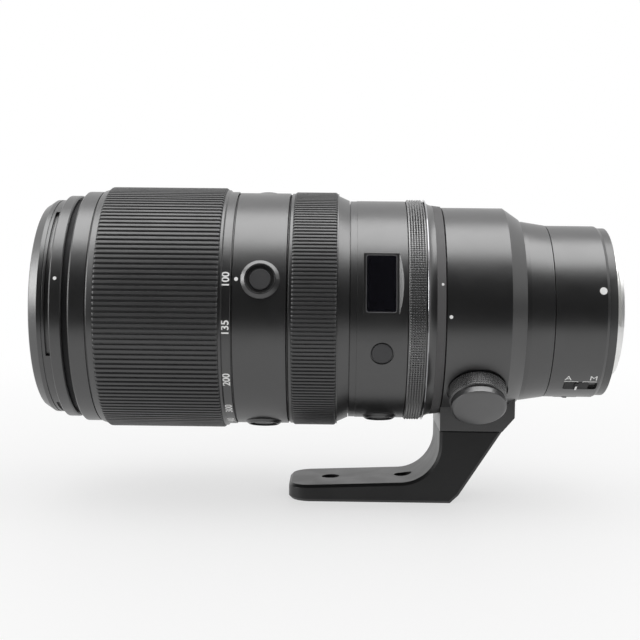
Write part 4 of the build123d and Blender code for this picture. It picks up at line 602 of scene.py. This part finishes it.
@dataclass(frozen=True)
class PrintSpot:
    """A place on a turned face, with the way that print on it reads."""

    station: float
    clock: float
    radius: float
    reading: Reading = Reading.UPRIGHT
    sunk: float = 0.02 * MM

    def wrap(self, flat: np.ndarray) -> np.ndarray:
        """Lay flat points round the barrel.

        Upright print runs towards the mount and stands along the clock. Upward print runs along
        the clock, with its top towards the front glass. A point's own height adds to the radius.

        Args:
            flat: Points with x along the line, y up and z out of the face.

        Returns:
            The points on the barrel.
        """
        if self.reading is Reading.UPRIGHT:
            station, arc = self.station - flat[..., 0], flat[..., 1]
        else:
            station, arc = self.station + flat[..., 1], flat[..., 0]
        clock = math.radians(self.clock) + arc / self.radius
        return OPTICAL_AXIS.place(station, self.radius - self.sunk + flat[..., 2], clock)


@dataclass(frozen=True)
class Dot:
    """A round printed or filled mark."""

    diameter: float
    thickness: float = 0.05 * MM
    sides: int = 40
    ring_shares: tuple[Shares, ...] = ((0.45, 0.0), (1.0, 0.0), (1.0, 0.7), (0.94, 1.0),
                                       (0.45, 1.0))

    def mesh(self, name: str, spot: PrintSpot) -> bpy.types.Mesh:
        """A flat round cake, wrapped on the barrel.

        Each ring lies at a share of its radius and a share of its thickness.

        Args:
            name: Name of the mesh.
            spot: Its place.

        Returns:
            The mesh.
        """
        rings = np.array(self.ring_shares)
        angle = full_turn(self.sides)
        reach = rings[:, :1] * self.diameter / 2
        height = np.broadcast_to(rings[:, 1:] * self.thickness, (len(rings), self.sides))
        flat = np.stack([reach * np.cos(angle), reach * np.sin(angle), height], axis=-1)
        poles = np.array([[0.0, 0.0, 0.0], [0.0, 0.0, self.thickness]])
        return grid_mesh(name, spot.wrap(flat), spot.wrap(poles))


@dataclass(frozen=True)
class Stroke:
    """A straight printed line."""

    length: float
    width: float
    thickness: float = 0.05 * MM
    steps: int = 12

    def mesh(self, name: str, spot: PrintSpot) -> bpy.types.Mesh:
        """A thin bar: its square section is carried along its length and closed at both ends.

        Args:
            name: Name of the mesh.
            spot: Its place.

        Returns:
            The mesh.
        """
        along = np.linspace(-self.length / 2, self.length / 2, self.steps)[:, None]
        across = np.array([-1.0, 1.0, 1.0, -1.0]) * self.width / 2
        height = np.array([0.0, 0.0, 1.0, 1.0]) * self.thickness
        flat = np.stack(np.broadcast_arrays(along, across, height), axis=-1)
        middle = self.thickness / 2
        poles = np.array([[-self.length / 2, 0.0, middle], [self.length / 2, 0.0, middle]])
        return grid_mesh(name, spot.wrap(flat), spot.wrap(poles), sharp_angle=30.0)


@dataclass(frozen=True)
class Lettering:
    """Plain letters or figures of a given height."""

    text: str
    height: float
    boldness: float = 0.012
    thickness: float = 0.05 * MM
    stretch: float = 1.0
    raw_depth: float = 0.5
    curve_steps: int = 6

    def mesh(self, name: str, spot: PrintSpot) -> bpy.types.Mesh:
        """Solid letters from Blender's own plain font, scaled to the height and wrapped.

        Args:
            name: Name of the mesh.
            spot: Place of the middle of the line.

        Returns:
            The mesh.
        """
        curve = bpy.data.curves.new(name, "FONT")
        curve.body = self.text
        curve.offset = self.boldness
        curve.extrude = self.raw_depth
        curve.resolution_u = self.curve_steps
        holder = bpy.data.objects.new(name, curve)
        mesh = bpy.data.meshes.new_from_object(holder)
        bpy.data.objects.remove(holder)
        bpy.data.curves.remove(curve)
        flat = np.zeros(len(mesh.vertices) * 3)
        mesh.vertices.foreach_get("co", flat)
        flat = flat.reshape(-1, 3)
        low, high = flat.min(0), flat.max(0)
        size = self.height / (high[1] - low[1])
        middle = (low + high) / 2
        flat = (flat - [middle[0], middle[1], low[2]]) * [size * self.stretch, size,
                                                          self.thickness / (high[2] - low[2])]
        mesh.vertices.foreach_set("co", spot.wrap(flat).ravel())
        mesh.update()
        return mesh


# Adding pieces.


def put_in_scene(obj: bpy.types.Object) -> None:
    """Link an object to the scene's own collection."""
    bpy.context.scene.collection.objects.link(obj)


class Workshop:
    """Holds the finishes and adds pieces to the scene."""

    def __init__(self) -> None:
        """Build every finish once."""
        kit = ShaderKit()
        self.finishes = {slot: finish.build(slot.value, kit) for slot, finish in FINISHES.items()}

    def dress_frame(self, frame: dict) -> None:
        """Give each CAD node the finish of its slot in the record.
        """
        for row in frame["record"]["subparts"]:
            obj = frame["nodes"][row["node"]]
            obj.data.materials.clear()
            obj.data.materials.append(self.finishes[Slot(row["material_slot"])])
        LOG.info("dressed %d nodes", len(frame["nodes"]))

    def add(self, name: str, mesh: bpy.types.Mesh, body: str, slot: Slot,
            replaces: tuple[str, ...] = ()) -> None:
        """Put a mesh into the scene as one piece.

        Args:
            name: Name of the piece.
            mesh: Its mesh, in place.
            body: CAD body that it rides on.
            slot: Finish that it takes.
            replaces: CAD nodes that it stands for.
        """
        mesh.materials.clear()
        mesh.materials.append(self.finishes[slot])
        piece = bpy.data.objects.new(name, mesh)
        put_in_scene(piece)
        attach(piece, body)
        if replaces:
            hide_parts(*replaces)
        LOG.info("%s: %d faces on %s", name, len(mesh.polygons), body)

    def print_mark(self, name: str, mark: Dot | Stroke | Lettering, spot: PrintSpot,
                   body: str = "barrel") -> None:
        """Print a mark at its spot on a body."""
        self.add(name, mark.mesh(name, spot), body, Slot.PRINT)


@dataclass(frozen=True)
class Span:
    """Where a turned CAD node lies along the axis, and how far it reaches from it."""

    rear: float
    front: float
    reach: float

    @classmethod
    def of(cls, node: str) -> "Span":
        """Span of a node of the frame."""
        low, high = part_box(node)
        return cls(-high.x, -low.x, max(high.z, high.y))


# Sub-assemblies of the lens.


@dataclass
class RibbedGrip:
    """A rubber sleeve with straight ribs along the axis."""

    node: str
    body: str
    ribs: int
    depth: float
    thickness: float
    rib_share: float = 0.62
    softness_share: float = 0.12
    end_bevel: float = 0.75 * MM
    end_share: float = 0.3
    crown: float = 0.05
    flank_shares: Shares = (-1.0, -0.45, 0.0, 0.45, 1.0)
    rise_shares: Shares = (0.0, 0.3, 0.65, 1.0)

    def section(self) -> tuple[np.ndarray, np.ndarray]:
        """Outline round the sleeve.

        Each rib is sampled where its flanks bend. Its height is a smooth step of the distance
        from its middle, less a slight crown.

        Returns:
            Angles in radians, and the share of the rib's height at each.
        """
        flank = self.softness_share / 2
        half = self.rib_share / 2
        bends = half + flank * np.array(self.flank_shares)
        offsets = np.concatenate([-bends[::-1], [0.0], bends, [0.5]])
        apart = np.abs(offsets)
        height = ease((half + flank - apart) / (2 * flank))
        height = height * (1.0 - self.crown * (apart / half) ** 2)
        return full_turn(self.ribs, offsets), np.tile(height, self.ribs)

    def build(self, shop: Workshop) -> None:
        """Make the sleeve on a plain bore.

        The outer radius is the reach less the groove's depth, where the rib's height times a
        rise over the bevel at each end fills the groove up again.

        Args:
            shop: Workshop that adds the piece.
        """
        span = Span.of(self.node)
        angle, height = self.section()
        rise_share = np.array(self.rise_shares)
        rise = self.end_share + (1.0 - self.end_share) * np.sin(rise_share * math.pi / 2)
        stations = np.concatenate([span.rear + rise_share * self.end_bevel,
                                   span.front - rise_share[::-1] * self.end_bevel])
        envelope = np.concatenate([rise, rise[::-1]])
        outer = span.reach - self.depth * (1.0 - envelope[:, None] * height)
        bore = np.full((1, len(angle)), span.reach - self.thickness)
        radius = np.vstack([bore, outer, bore])
        station = np.concatenate([[span.rear], stations, [span.front]])[:, None]
        mesh = grid_mesh(self.node, OPTICAL_AXIS.place(station, radius, angle))
        shop.add(f"{self.node}_ribbed", mesh, self.body, Slot.GRIP, (self.node,))


@dataclass
class ZoomScale:
    """Focal lengths printed on the zoom ring, read against a dot on the fixed barrel."""

    figure_height: float = 3.0 * MM
    band_middle: float = 149.6 * MM
    band_radius: float = 47.5 * MM
    dot_station: float = 145.6 * MM
    dot_radius: float = 47.1 * MM
    dot_diameter: float = 1.5 * MM
    boldness: float = 0.022
    settings: dict[str, float] = field(default_factory=lambda: {
        "100": 0.0, "135": 22.1, "200": 48.7, "300": 69.6, "400": 84.6})

    def build(self, shop: Workshop) -> None:
        """Print each figure at its turn from the index, and the index dot.

        Args:
            shop: Workshop that adds the pieces.
        """
        for figure, turn in self.settings.items():
            spot = PrintSpot(self.band_middle, BODY_CLOCK - turn, self.band_radius,
                             Reading.UPWARDS)
            figures = Lettering(figure, self.figure_height, self.boldness)
            shop.print_mark(f"scale_{figure}", figures, spot, "zoom_ring")
        spot = PrintSpot(self.dot_station, BODY_CLOCK, self.dot_radius)
        shop.print_mark("zoom_index_dot", Dot(self.dot_diameter), spot)


@dataclass
class ControlRing:
    """Narrow ring with ridges that cross cuts divide into small studs."""

    ridges: int = 6
    ridge_span: float = 6.1 * MM
    depth: float = 0.6 * MM
    cuts: int = 280
    wall: float = 1.4 * MM
    edge: float = 0.12 * MM
    ridge_steps: Shares = (0.08, 0.3, 0.5, 0.7, 0.92)
    ridge_shares: Shares = (0.0, 0.85, 1.0, 0.85, 0.0)
    cut_steps: Shares = (0.0, 0.18, 0.34, 0.5, 0.66, 0.82)
    cut_shares: Shares = (0.0, 0.0, 0.65, 1.0, 0.65, 0.0)

    def build(self, shop: Workshop) -> None:
        """Turn the ridged profile, with its height multiplied by the cuts round the ring.

        Args:
            shop: Workshop that adds the piece.
        """
        span = Span.of("control_ring")
        pitch = self.ridge_span / self.ridges
        first = (span.rear + span.front - self.ridge_span) / 2
        stations = in_pitches(self.ridges, self.ridge_steps, pitch, first)
        ridge = np.tile(self.ridge_shares, self.ridges)[:, None]
        angle = full_turn(self.cuts, self.cut_steps)
        root = span.reach - self.depth
        middle = root + self.depth * ridge * np.tile(self.cut_shares, self.cuts)
        rear_end = np.array([root - self.wall, root - self.edge, root])[:, None]
        plain = np.ones(len(angle))
        radius = np.vstack([rear_end * plain, middle, rear_end[::-1] * plain])
        station = np.concatenate([[span.rear, span.rear, span.rear + self.edge], stations,
                                  [span.front - self.edge, span.front, span.front]])[:, None]
        mesh = grid_mesh("control_ring_studs", OPTICAL_AXIS.place(station, radius, angle))
        shop.add("control_ring_studs", mesh, "control_ring", Slot.STUD_SATIN,
                 ("control_ring",))


@dataclass
class ClampKnob:
    """Round knob that locks the tripod collar, with a toothed rim and a plain cap."""

    clock: float = -45.0
    station: float = 52.55 * MM
    base: float = 40.5 * MM
    foot_radius: float = 3.0 * MM
    foot_depth: float = 1.7 * MM
    rim_radius: float = 11.2 * MM
    rim_length: float = 6.6 * MM
    groove_radius: float = 10.2 * MM
    groove_length: float = 0.6 * MM
    cap_radius: float = 10.7 * MM
    length: float = 10.5 * MM
    bevel: float = 0.9 * MM
    bevel_shares: tuple[Shares, ...] = ((1.0, 0.0), (0.3, 0.75), (0.0, 1.4))
    foot_core_share: float = 0.5
    cap_core_share: float = 0.4
    edge: float = 0.3 * MM
    teeth: int = 76
    tooth_rows: int = 6
    tooth_depth: float = 0.34 * MM
    row_steps: Shares = (0.1, 0.3, 0.7, 0.9)
    row_shares: Shares = (1.0, 0.0, 0.0, 1.0)
    tooth_steps: Shares = (0.0, 0.2, 0.35, 0.85)
    tooth_shares: Shares = (1.0, 1.0, 0.0, 0.0)

    def rim_rows(self) -> np.ndarray:
        """Rows of the toothed rim: ridges round the knob with full cuts between them.

        Returns:
            Height, radius and notch share of each row.
        """
        pitch = (self.rim_length - 2 * self.edge) / self.tooth_rows
        height = in_pitches(self.tooth_rows, self.row_steps, pitch, self.edge)
        reach = np.full(height.size, self.rim_radius)
        return np.column_stack([height, reach, np.tile(self.row_shares, self.tooth_rows)])

    def build(self, shop: Workshop) -> None:
        """Turn the profile about the knob's own axis.

        The rim's radius is less by the tooth depth times the deeper of two notches: the cross
        cut of its row and the tooth gap at its angle.

        Args:
            shop: Workshop that adds the piece.
        """
        along = outward(self.clock)
        origin = (-self.station, self.base * along[1], self.base * along[2])
        axis = TurningAxis(origin, along, (1.0, 0.0, 0.0))
        cap_start = self.rim_length + self.groove_length
        rim_end = self.rim_radius - self.tooth_depth - self.edge
        under = np.array([
            [-self.foot_depth, self.foot_radius * self.foot_core_share],
            [-self.foot_depth, self.foot_radius],
            [0.0, self.foot_radius],
            [0.0, rim_end]])
        cap = np.array([
            [self.rim_length, rim_end],
            [self.rim_length, self.groove_radius],
            [cap_start, self.groove_radius],
            [cap_start, self.cap_radius - self.edge / 2],
            [cap_start + self.edge / 2, self.cap_radius],
            *([self.length - self.bevel * down, self.cap_radius - self.bevel * inwards]
              for down, inwards in self.bevel_shares),
            [self.length, self.cap_radius * self.cap_core_share]])
        rim = self.rim_rows()
        angle = full_turn(self.teeth, self.tooth_steps)
        notch = np.maximum(rim[:, 2:3], np.tile(self.tooth_shares, self.teeth)) * self.tooth_depth
        rim_radius = rim[:, 1:2] - notch
        plain = np.ones(len(angle))
        height = np.concatenate([under[:, 0], rim[:, 0], cap[:, 0]])[:, None]
        radius = np.vstack([under[:, 1:2] * plain, rim_radius, cap[:, 1:2] * plain])
        grid = axis.place(height, radius, angle)
        poles = axis.place(np.array([-self.foot_depth, self.length]), np.zeros(2), np.zeros(2))
        shop.add("collar_knob_toothed", grid_mesh("collar_knob_toothed", grid, poles),
                 "collar_knob", Slot.KNOB, ("collar_knob",))


@dataclass
class ThreadTurns:
    """The turns of a screw thread on the wall of a bore, each drawn as a closed ring."""

    name: str
    body: str
    slot: Slot
    axis: TurningAxis
    start: float
    length: float
    radius: float
    pitch: float
    depth: float
    sides: int = 160
    backing_share: float = 0.1
    turn_steps: Shares = (0.0, 0.42, 0.58)
    turn_shares: Shares = (0.0, 1.0, 1.0)

    def build(self, shop: Workshop) -> None:
        """Turn a ridged profile whose flat crests stand inwards by the thread's depth.

        Args:
            shop: Workshop that adds the piece.
        """
        turns = int(self.length / self.pitch)
        height = np.append(in_pitches(turns, self.turn_steps, self.pitch, self.start),
                           self.start + turns * self.pitch)
        inner = self.radius - self.depth * np.append(np.tile(self.turn_shares, turns), 0.0)
        wall = self.radius + self.depth * self.backing_share
        rows = np.concatenate([height, [height[-1], height[0]]])[:, None]
        radius = np.concatenate([inner, [wall, wall]])[:, None]
        mesh = grid_mesh(self.name, self.axis.place(rows, radius, full_turn(self.sides)),
                         sharp_angle=30.0)
        shop.add(self.name, mesh, self.body, self.slot)


@dataclass
class Threads:
    """The filter thread in the front ring and the two tripod threads in the foot."""

    filter_radius: float = 38.5 * MM
    filter_depth: float = 5.2 * MM
    filter_pitch: float = 0.75 * MM
    thread_depth: float = 0.32 * MM
    tripod_radius: float = 3.175 * MM
    tripod_pitch: float = 1.27 * MM
    lead_in: float = 0.45 * MM

    def build(self, shop: Workshop) -> None:
        """Set each thread in its bore.

        Args:
            shop: Workshop that adds the pieces.
        """
        front = Span.of("filter_ring").front
        ThreadTurns("filter_thread_turns", "front_barrel", Slot.SATIN, OPTICAL_AXIS,
                    front - self.filter_depth + self.lead_in / 2,
                    self.filter_depth - self.lead_in, self.filter_radius, self.filter_pitch,
                    self.thread_depth).build(shop)
        low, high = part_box("tripod_inserts")
        radius = (high.y - low.y) / 2
        for number, x in enumerate((low.x + radius, high.x - radius)):
            axis = TurningAxis((x, 0.0, low.z), (0.0, 0.0, 1.0), (1.0, 0.0, 0.0))
            ThreadTurns(f"tripod_thread_turns_{number + 1}", "collar", Slot.STEEL, axis,
                        self.lead_in / 2, high.z - low.z - self.lead_in, self.tripod_radius,
                        self.tripod_pitch, self.thread_depth, sides=48).build(shop)


@dataclass
class IndexMarks:
    """Dots that line up the front ring, the collar and the camera mount."""

    front_station: float = 214.4 * MM
    front_radius: float = 45.3 * MM
    front_diameter: float = 1.4 * MM
    index_station: float = 67.6 * MM
    index_radius: float = 42.5 * MM
    index_diameter: float = 1.1 * MM
    collar_station: float = 64.3 * MM
    collar_clock: float = 0.0
    collar_radius: float = 41.9 * MM
    collar_diameter: float = 1.4 * MM
    mount_station: float = 5.4 * MM
    mount_diameter: float = 2.9 * MM

    def build(self, shop: Workshop) -> None:
        """Set the four dots.

        Args:
            shop: Workshop that adds the pieces.
        """
        front = PrintSpot(self.front_station, BODY_CLOCK, self.front_radius)
        shop.print_mark("front_dot", Dot(self.front_diameter), front, "front_barrel")
        index = PrintSpot(self.index_station, BODY_CLOCK, self.index_radius)
        shop.print_mark("collar_index_dot", Dot(self.index_diameter), index)
        collar = PrintSpot(self.collar_station, self.collar_clock, self.collar_radius)
        shop.print_mark("collar_dot", Dot(self.collar_diameter), collar, "collar")
        mount = PrintSpot(self.mount_station, BODY_CLOCK, REAR_RADIUS)
        shop.print_mark("mount_dot", Dot(self.mount_diameter), mount)


@dataclass
class SwitchMarks:
    """Letters and lines beside the focus mode switch, and the white line on its slider."""

    letter_clock: float = -44.8
    line_clock: float = -48.5
    letter_height: float = 2.6 * MM
    letter_boldness: float = 0.0
    letter_stretch: float = 1.1
    line_width: float = 0.32 * MM
    line_length: float = 5.6 * MM
    hook_length: float = 1.1 * MM
    auto_station: float = 16.4 * MM
    manual_station: float = 6.5 * MM
    auto_line_station: float = 15.0 * MM
    manual_line_station: float = 7.7 * MM
    slider_line_station: float = 12.65 * MM
    slider_clock: float = -55.5
    slider_line_length: float = 2.9 * MM
    slider_line_width: float = 0.8 * MM
    slider_lift: float = 0.5 * MM

    def build(self, shop: Workshop) -> None:
        """Print the switch's marks.

        Args:
            shop: Workshop that adds the pieces.
        """
        letters = {"A": self.auto_station, "M": self.manual_station}
        for letter, station in letters.items():
            spot = PrintSpot(station, self.letter_clock, REAR_RADIUS)
            shape = Lettering(letter, self.letter_height, self.letter_boldness,
                              stretch=self.letter_stretch)
            shop.print_mark(f"switch_letter_{letter}", shape, spot)
        half = (self.line_length - self.line_width) / 2
        drop = math.degrees((self.hook_length - self.line_width) / 2 / REAR_RADIUS)
        line = Stroke(self.line_length, self.line_width)
        hook = Stroke(self.hook_length, self.line_width)
        lines = {"auto": (self.auto_line_station, -half), "manual": (self.manual_line_station, half)}
        for label, (station, end) in lines.items():
            spot = PrintSpot(station, self.line_clock, REAR_RADIUS)
            shop.print_mark(f"switch_line_{label}", line, spot)
            spot = PrintSpot(station + end, self.line_clock - drop, REAR_RADIUS, Reading.UPWARDS)
            shop.print_mark(f"switch_hook_{label}", hook, spot)
        spot = PrintSpot(self.slider_line_station, self.slider_clock,
                         REAR_RADIUS + self.slider_lift, Reading.UPWARDS)
        line = Stroke(self.slider_line_length, self.slider_line_width)
        shop.print_mark("slider_line", line, spot, "focus_mode_slider")


@dataclass
class DisplayWindow:
    """Thin edge line round the glass of the display."""

    station: float = 90.8 * MM
    height: float = 42.67 * MM
    length: float = 11.8 * MM
    width: float = 22.6 * MM
    corner: float = 0.9 * MM
    line: float = 0.24 * MM
    thickness: float = 0.03 * MM
    corner_steps: int = 6

    def outline(self) -> tuple[np.ndarray, np.ndarray]:
        """Rounded rectangle: each corner is a quarter circle about its own centre.

        Returns:
            Points of the outline in the flat, and the outward direction at each.
        """
        turn = np.linspace(0.0, math.pi / 2, self.corner_steps)
        angle = (np.arange(4)[:, None] * math.pi / 2 + turn).ravel()
        direction = np.stack([np.cos(angle), np.sin(angle)], axis=-1)
        inset = self.corner + self.line / 2
        half = np.array([self.length / 2 - inset, self.width / 2 - inset])
        quarter = np.arange(4) * math.pi / 2 + math.pi / 4
        signs = np.sign(np.stack([np.cos(quarter), np.sin(quarter)], axis=-1))
        centre = np.repeat(signs * half, self.corner_steps, axis=0)
        return centre + direction * self.corner, direction

    def build(self, shop: Workshop) -> None:
        """Carry a flat section round the outline, on the window's plane.

        Args:
            shop: Workshop that adds the piece.
        """
        points, direction = self.outline()
        side = np.array([-1.0, 1.0, 1.0, -1.0]) * self.line / 2
        lift = self.height + np.array([-1.0, -1.0, 1.0, 1.0]) * self.thickness
        flat = points[:, None, :] + side[None, :, None] * direction[:, None, :]
        away = np.array(outward(BODY_CLOCK))
        upward = np.array([0.0, away[2], -away[1]])
        grid = (np.array([-self.station, 0.0, 0.0]) + flat[..., :1] * np.array([1.0, 0.0, 0.0])
                + flat[..., 1:] * upward + lift[None, :, None] * away)
        shop.add("window_edge_line", grid_mesh("window_edge_line", grid), "barrel",
                 Slot.WINDOW_EDGE)


@dataclass
class IndexBand:
    """Satin band between the collar and the glossy cove, which carries the index dot."""

    rear: float = 66.29 * MM
    front: float = 69.68 * MM
    rear_radius: float = 42.3 * MM
    front_radius: float = 42.7 * MM
    skin: float = 0.03 * MM
    sides: int = 256

    def build(self, shop: Workshop) -> None:
        """Turn a thin skin that follows the band's slight taper.

        Args:
            shop: Workshop that adds the piece.
        """
        station = np.array([self.rear, self.rear, self.front, self.front])[:, None]
        radius = np.array([self.rear_radius - self.skin, self.rear_radius + self.skin,
                           self.front_radius + self.skin, self.front_radius - self.skin])
        grid = OPTICAL_AXIS.place(station, radius[:, None], full_turn(self.sides))
        shop.add("index_band_skin", grid_mesh("index_band_skin", grid), "barrel",
                 Slot.INDEX_SATIN)


# Studio.


@dataclass
class Studio:
    """Pale floor, broad soft lights above and in front of the lens, and the camera.

    The overhead light is two lamps of one shape. One is seen in reflections alone, and the other
    gives the plain light that colours and shadows are seen by. The light in front of the lens is
    seen in reflections alone.
    """

    low: Vector
    high: Vector
    floor_tone: float = 0.97
    floor_half_width: float = 6.0
    floor_near: float = 0.05
    floor_far: float = 0.6
    floor_lift: float = 0.58
    fill: float = 0.8
    overhead_place: Triple = (-0.11, -0.06, 0.85)
    overhead_size: tuple[float, float] = (1.7, 0.68)
    overhead_shine: float = 3.4
    overhead_light: float = 1.0
    side_place: Triple = (-1.1, -0.24, 0.36)
    side_size: tuple[float, float] = (0.7, 0.45)
    side_shine: float = 7.0
    shade_floor: float = -0.25
    shade_reach: float = -0.62
    shade_top: float = 0.9
    shade_half_width: float = 1.6
    shade_lift: float = 2.0 * MM
    shade_tone: float = 0.02
    camera_place: Triple = (-0.10688, -0.5086, 0.032)
    camera_pan: float = 0.869
    camera_tilt: float = -4.128
    camera_roll: float = 0.599
    camera_lens: float = 69.52
    camera_sensor: float = 36.0

    @property
    def middle(self) -> float:
        """Middle of the lens along X."""
        return (self.low.x + self.high.x) / 2

    def seen_share(self, sketch: NodeSketch) -> bpy.types.NodeSocket:
        """One for camera, glossy and transmitted rays, and zero for the rest.

        Args:
            sketch: Sketch of the tree that it goes into.

        Returns:
            The share.
        """
        rays = sketch.add("ShaderNodeLightPath").outputs
        direct = sketch.math("MAXIMUM", rays["Is Camera Ray"], rays["Is Glossy Ray"])
        return sketch.math("MAXIMUM", direct, rays["Is Transmission Ray"])

    def build_world(self) -> None:
        """White surround where it is seen, and a weaker even fill for the light it gives."""
        world = bpy.data.worlds.new("studio_surround")
        bpy.context.scene.world = world
        world.use_nodes = True
        world.node_tree.nodes.clear()
        sketch = NodeSketch(world.node_tree)
        strength = sketch.spread(self.seen_share(sketch), self.fill, 1.0)
        light = sketch.add("ShaderNodeBackground", {"Color": WHITE, "Strength": strength})
        sketch.add("ShaderNodeOutputWorld", {"Surface": light.outputs[0]})

    def floor_material(self) -> bpy.types.Material:
        """Pale floor that keeps shadows near the object and fades to white far from it.

        Returns:
            The material.
        """
        material, sketch = shader_sketch("pale_floor")
        reach = sketch.add("ShaderNodeVectorMath", {0: sketch.place()}, operation="LENGTH")
        far = sketch.add("ShaderNodeMapRange", {"Value": reach.outputs["Value"],
                                                "From Min": self.floor_near,
                                                "From Max": self.floor_far},
                         interpolation_type="SMOOTHSTEP")
        lifted = sketch.spread(far.outputs["Result"], self.floor_lift, 1.0)
        share = sketch.math("MULTIPLY", lifted, self.seen_share(sketch))
        tone = (self.floor_tone, self.floor_tone, self.floor_tone, 1.0)
        near = sketch.add("ShaderNodeBsdfPrincipled", {"Base Color": tone, "Roughness": 0.55,
                                                       "Specular IOR Level": 0.3})
        white = sketch.add("ShaderNodeEmission", {"Color": WHITE, "Strength": 1.0})
        both = sketch.add("ShaderNodeMixShader", {0: share, 1: near.outputs[0],
                                                  2: white.outputs[0]})
        sketch.finish(both)
        return material

    def flat_piece(self, name: str, corners: np.ndarray,
                   material: bpy.types.Material) -> bpy.types.Object:
        """One four-cornered face that belongs to the studio.

        Args:
            name: Name of the object.
            corners: Its four corners in order.
            material: Its material.

        Returns:
            The object.
        """
        mesh = bpy.data.meshes.new(name)
        mesh.from_pydata(corners.tolist(), [], [(0, 1, 2, 3)])
        mesh.materials.append(material)
        piece = bpy.data.objects.new(name, mesh)
        put_in_scene(piece)
        piece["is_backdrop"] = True
        return piece

    def build_floor(self) -> None:
        """Lay the floor under the foot."""
        reach = self.floor_half_width
        corners = np.array([[-reach, -reach, 0], [reach, -reach, 0], [reach, reach, 0],
                            [-reach, reach, 0]])
        floor = self.flat_piece("floor", corners, self.floor_material())
        floor.location = (self.middle, 0.0, self.low.z)

    def build_shade(self) -> None:
        """Lean a dark card back from the floor before the lens. Only reflections see it."""
        material, sketch = shader_sketch("dark_card")
        tone = self.shade_tone
        sketch.finish(sketch.add("ShaderNodeEmission", {"Color": (tone, tone, tone, 1.0),
                                                        "Strength": 1.0}))
        base = self.low.z + self.shade_lift
        left, right = self.middle - self.shade_half_width, self.middle + self.shade_half_width
        corners = np.array([[left, self.shade_floor, base], [right, self.shade_floor, base],
                            [right, self.shade_reach, self.shade_top],
                            [left, self.shade_reach, self.shade_top]])
        card = self.flat_piece("dark_card", corners, material)
        card.visible_camera = False
        card.visible_diffuse = False
        card.visible_transmission = False
        card.visible_shadow = False

    def hang_lamp(self, name: str, radiance: float, size: tuple[float, float], place: Matrix,
                  shine: bool) -> None:
        """Hang one area lamp: its energy is its radiance times pi times its area.

        Args:
            name: Name of the lamp.
            radiance: How bright its face is, where 1 is white.
            size: Its width and height.
            place: Where it hangs and which way it is turned.
            shine: Whether it shows in reflections alone, or gives plain light alone.
        """
        lamp = bpy.data.lights.new(name, "AREA")
        lamp.shape = "RECTANGLE"
        lamp.size, lamp.size_y = size
        lamp.energy = radiance * math.pi * lamp.size * lamp.size_y
        holder = bpy.data.objects.new(name, lamp)
        holder.matrix_world = place
        holder.visible_camera = False
        holder.visible_glossy = shine
        holder.visible_diffuse = not shine
        put_in_scene(holder)

    def build_lights(self) -> None:
        """Hang the overhead light, and the upright one in front of the lens."""
        overhead = Matrix.Translation(Vector(self.overhead_place))
        side = (Matrix.Translation(Vector(self.side_place))
                @ Matrix.Rotation(math.radians(-90.0), 4, "Y"))
        self.hang_lamp("overhead_shine", self.overhead_shine, self.overhead_size, overhead, True)
        self.hang_lamp("overhead_light", self.overhead_light, self.overhead_size, overhead, False)
        self.hang_lamp("side_shine", self.side_shine, self.side_size, side, True)

    def build_camera(self) -> None:
        """Stand the camera where the photograph was taken from."""
        data = bpy.data.cameras.new("photo_camera")
        data.lens = self.camera_lens
        data.sensor_width = self.camera_sensor
        data.clip_start = 0.01
        camera = bpy.data.objects.new("photo_camera", data)
        pan = Matrix.Rotation(math.radians(self.camera_pan), 4, "Z")
        tilt = Matrix.Rotation(math.radians(90.0 + self.camera_tilt), 4, "X")
        roll = Matrix.Rotation(math.radians(self.camera_roll), 4, "Z")
        camera.matrix_world = Matrix.Translation(Vector(self.camera_place)) @ pan @ tilt @ roll
        put_in_scene(camera)
        bpy.context.scene.camera = camera

    def build(self) -> None:
        """Set up the whole studio round the lens's box, from its low to its high corner."""
        self.build_camera()
        self.build_world()
        self.build_floor()
        self.build_shade()
        self.build_lights()
        bpy.context.scene.view_settings.view_transform = "Standard"


def main() -> None:
    """Load the frame, set up the studio, dress the lens and add its modelled pieces."""
    logging.basicConfig(level=logging.INFO, format="%(message)s")
    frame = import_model()
    cad_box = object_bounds()
    Studio(*cad_box).build()
    shop = Workshop()
    shop.dress_frame(frame)
    sub_assemblies = (
        RibbedGrip("zoom_grip", "zoom_ring", ribs=150, depth=0.85 * MM, thickness=1.05 * MM),
        RibbedGrip("focus_grip", "focus_ring", ribs=184, depth=0.7 * MM, thickness=0.85 * MM),
        ZoomScale(),
        ControlRing(),
        ClampKnob(),
        Threads(),
        IndexMarks(),
        SwitchMarks(),
        DisplayWindow(),
        IndexBand(),
    )
    for sub_assembly in sub_assemblies:
        sub_assembly.build(shop)
        LOG.info("%s done", type(sub_assembly).__name__)


if __name__ == "__main__":
    main()
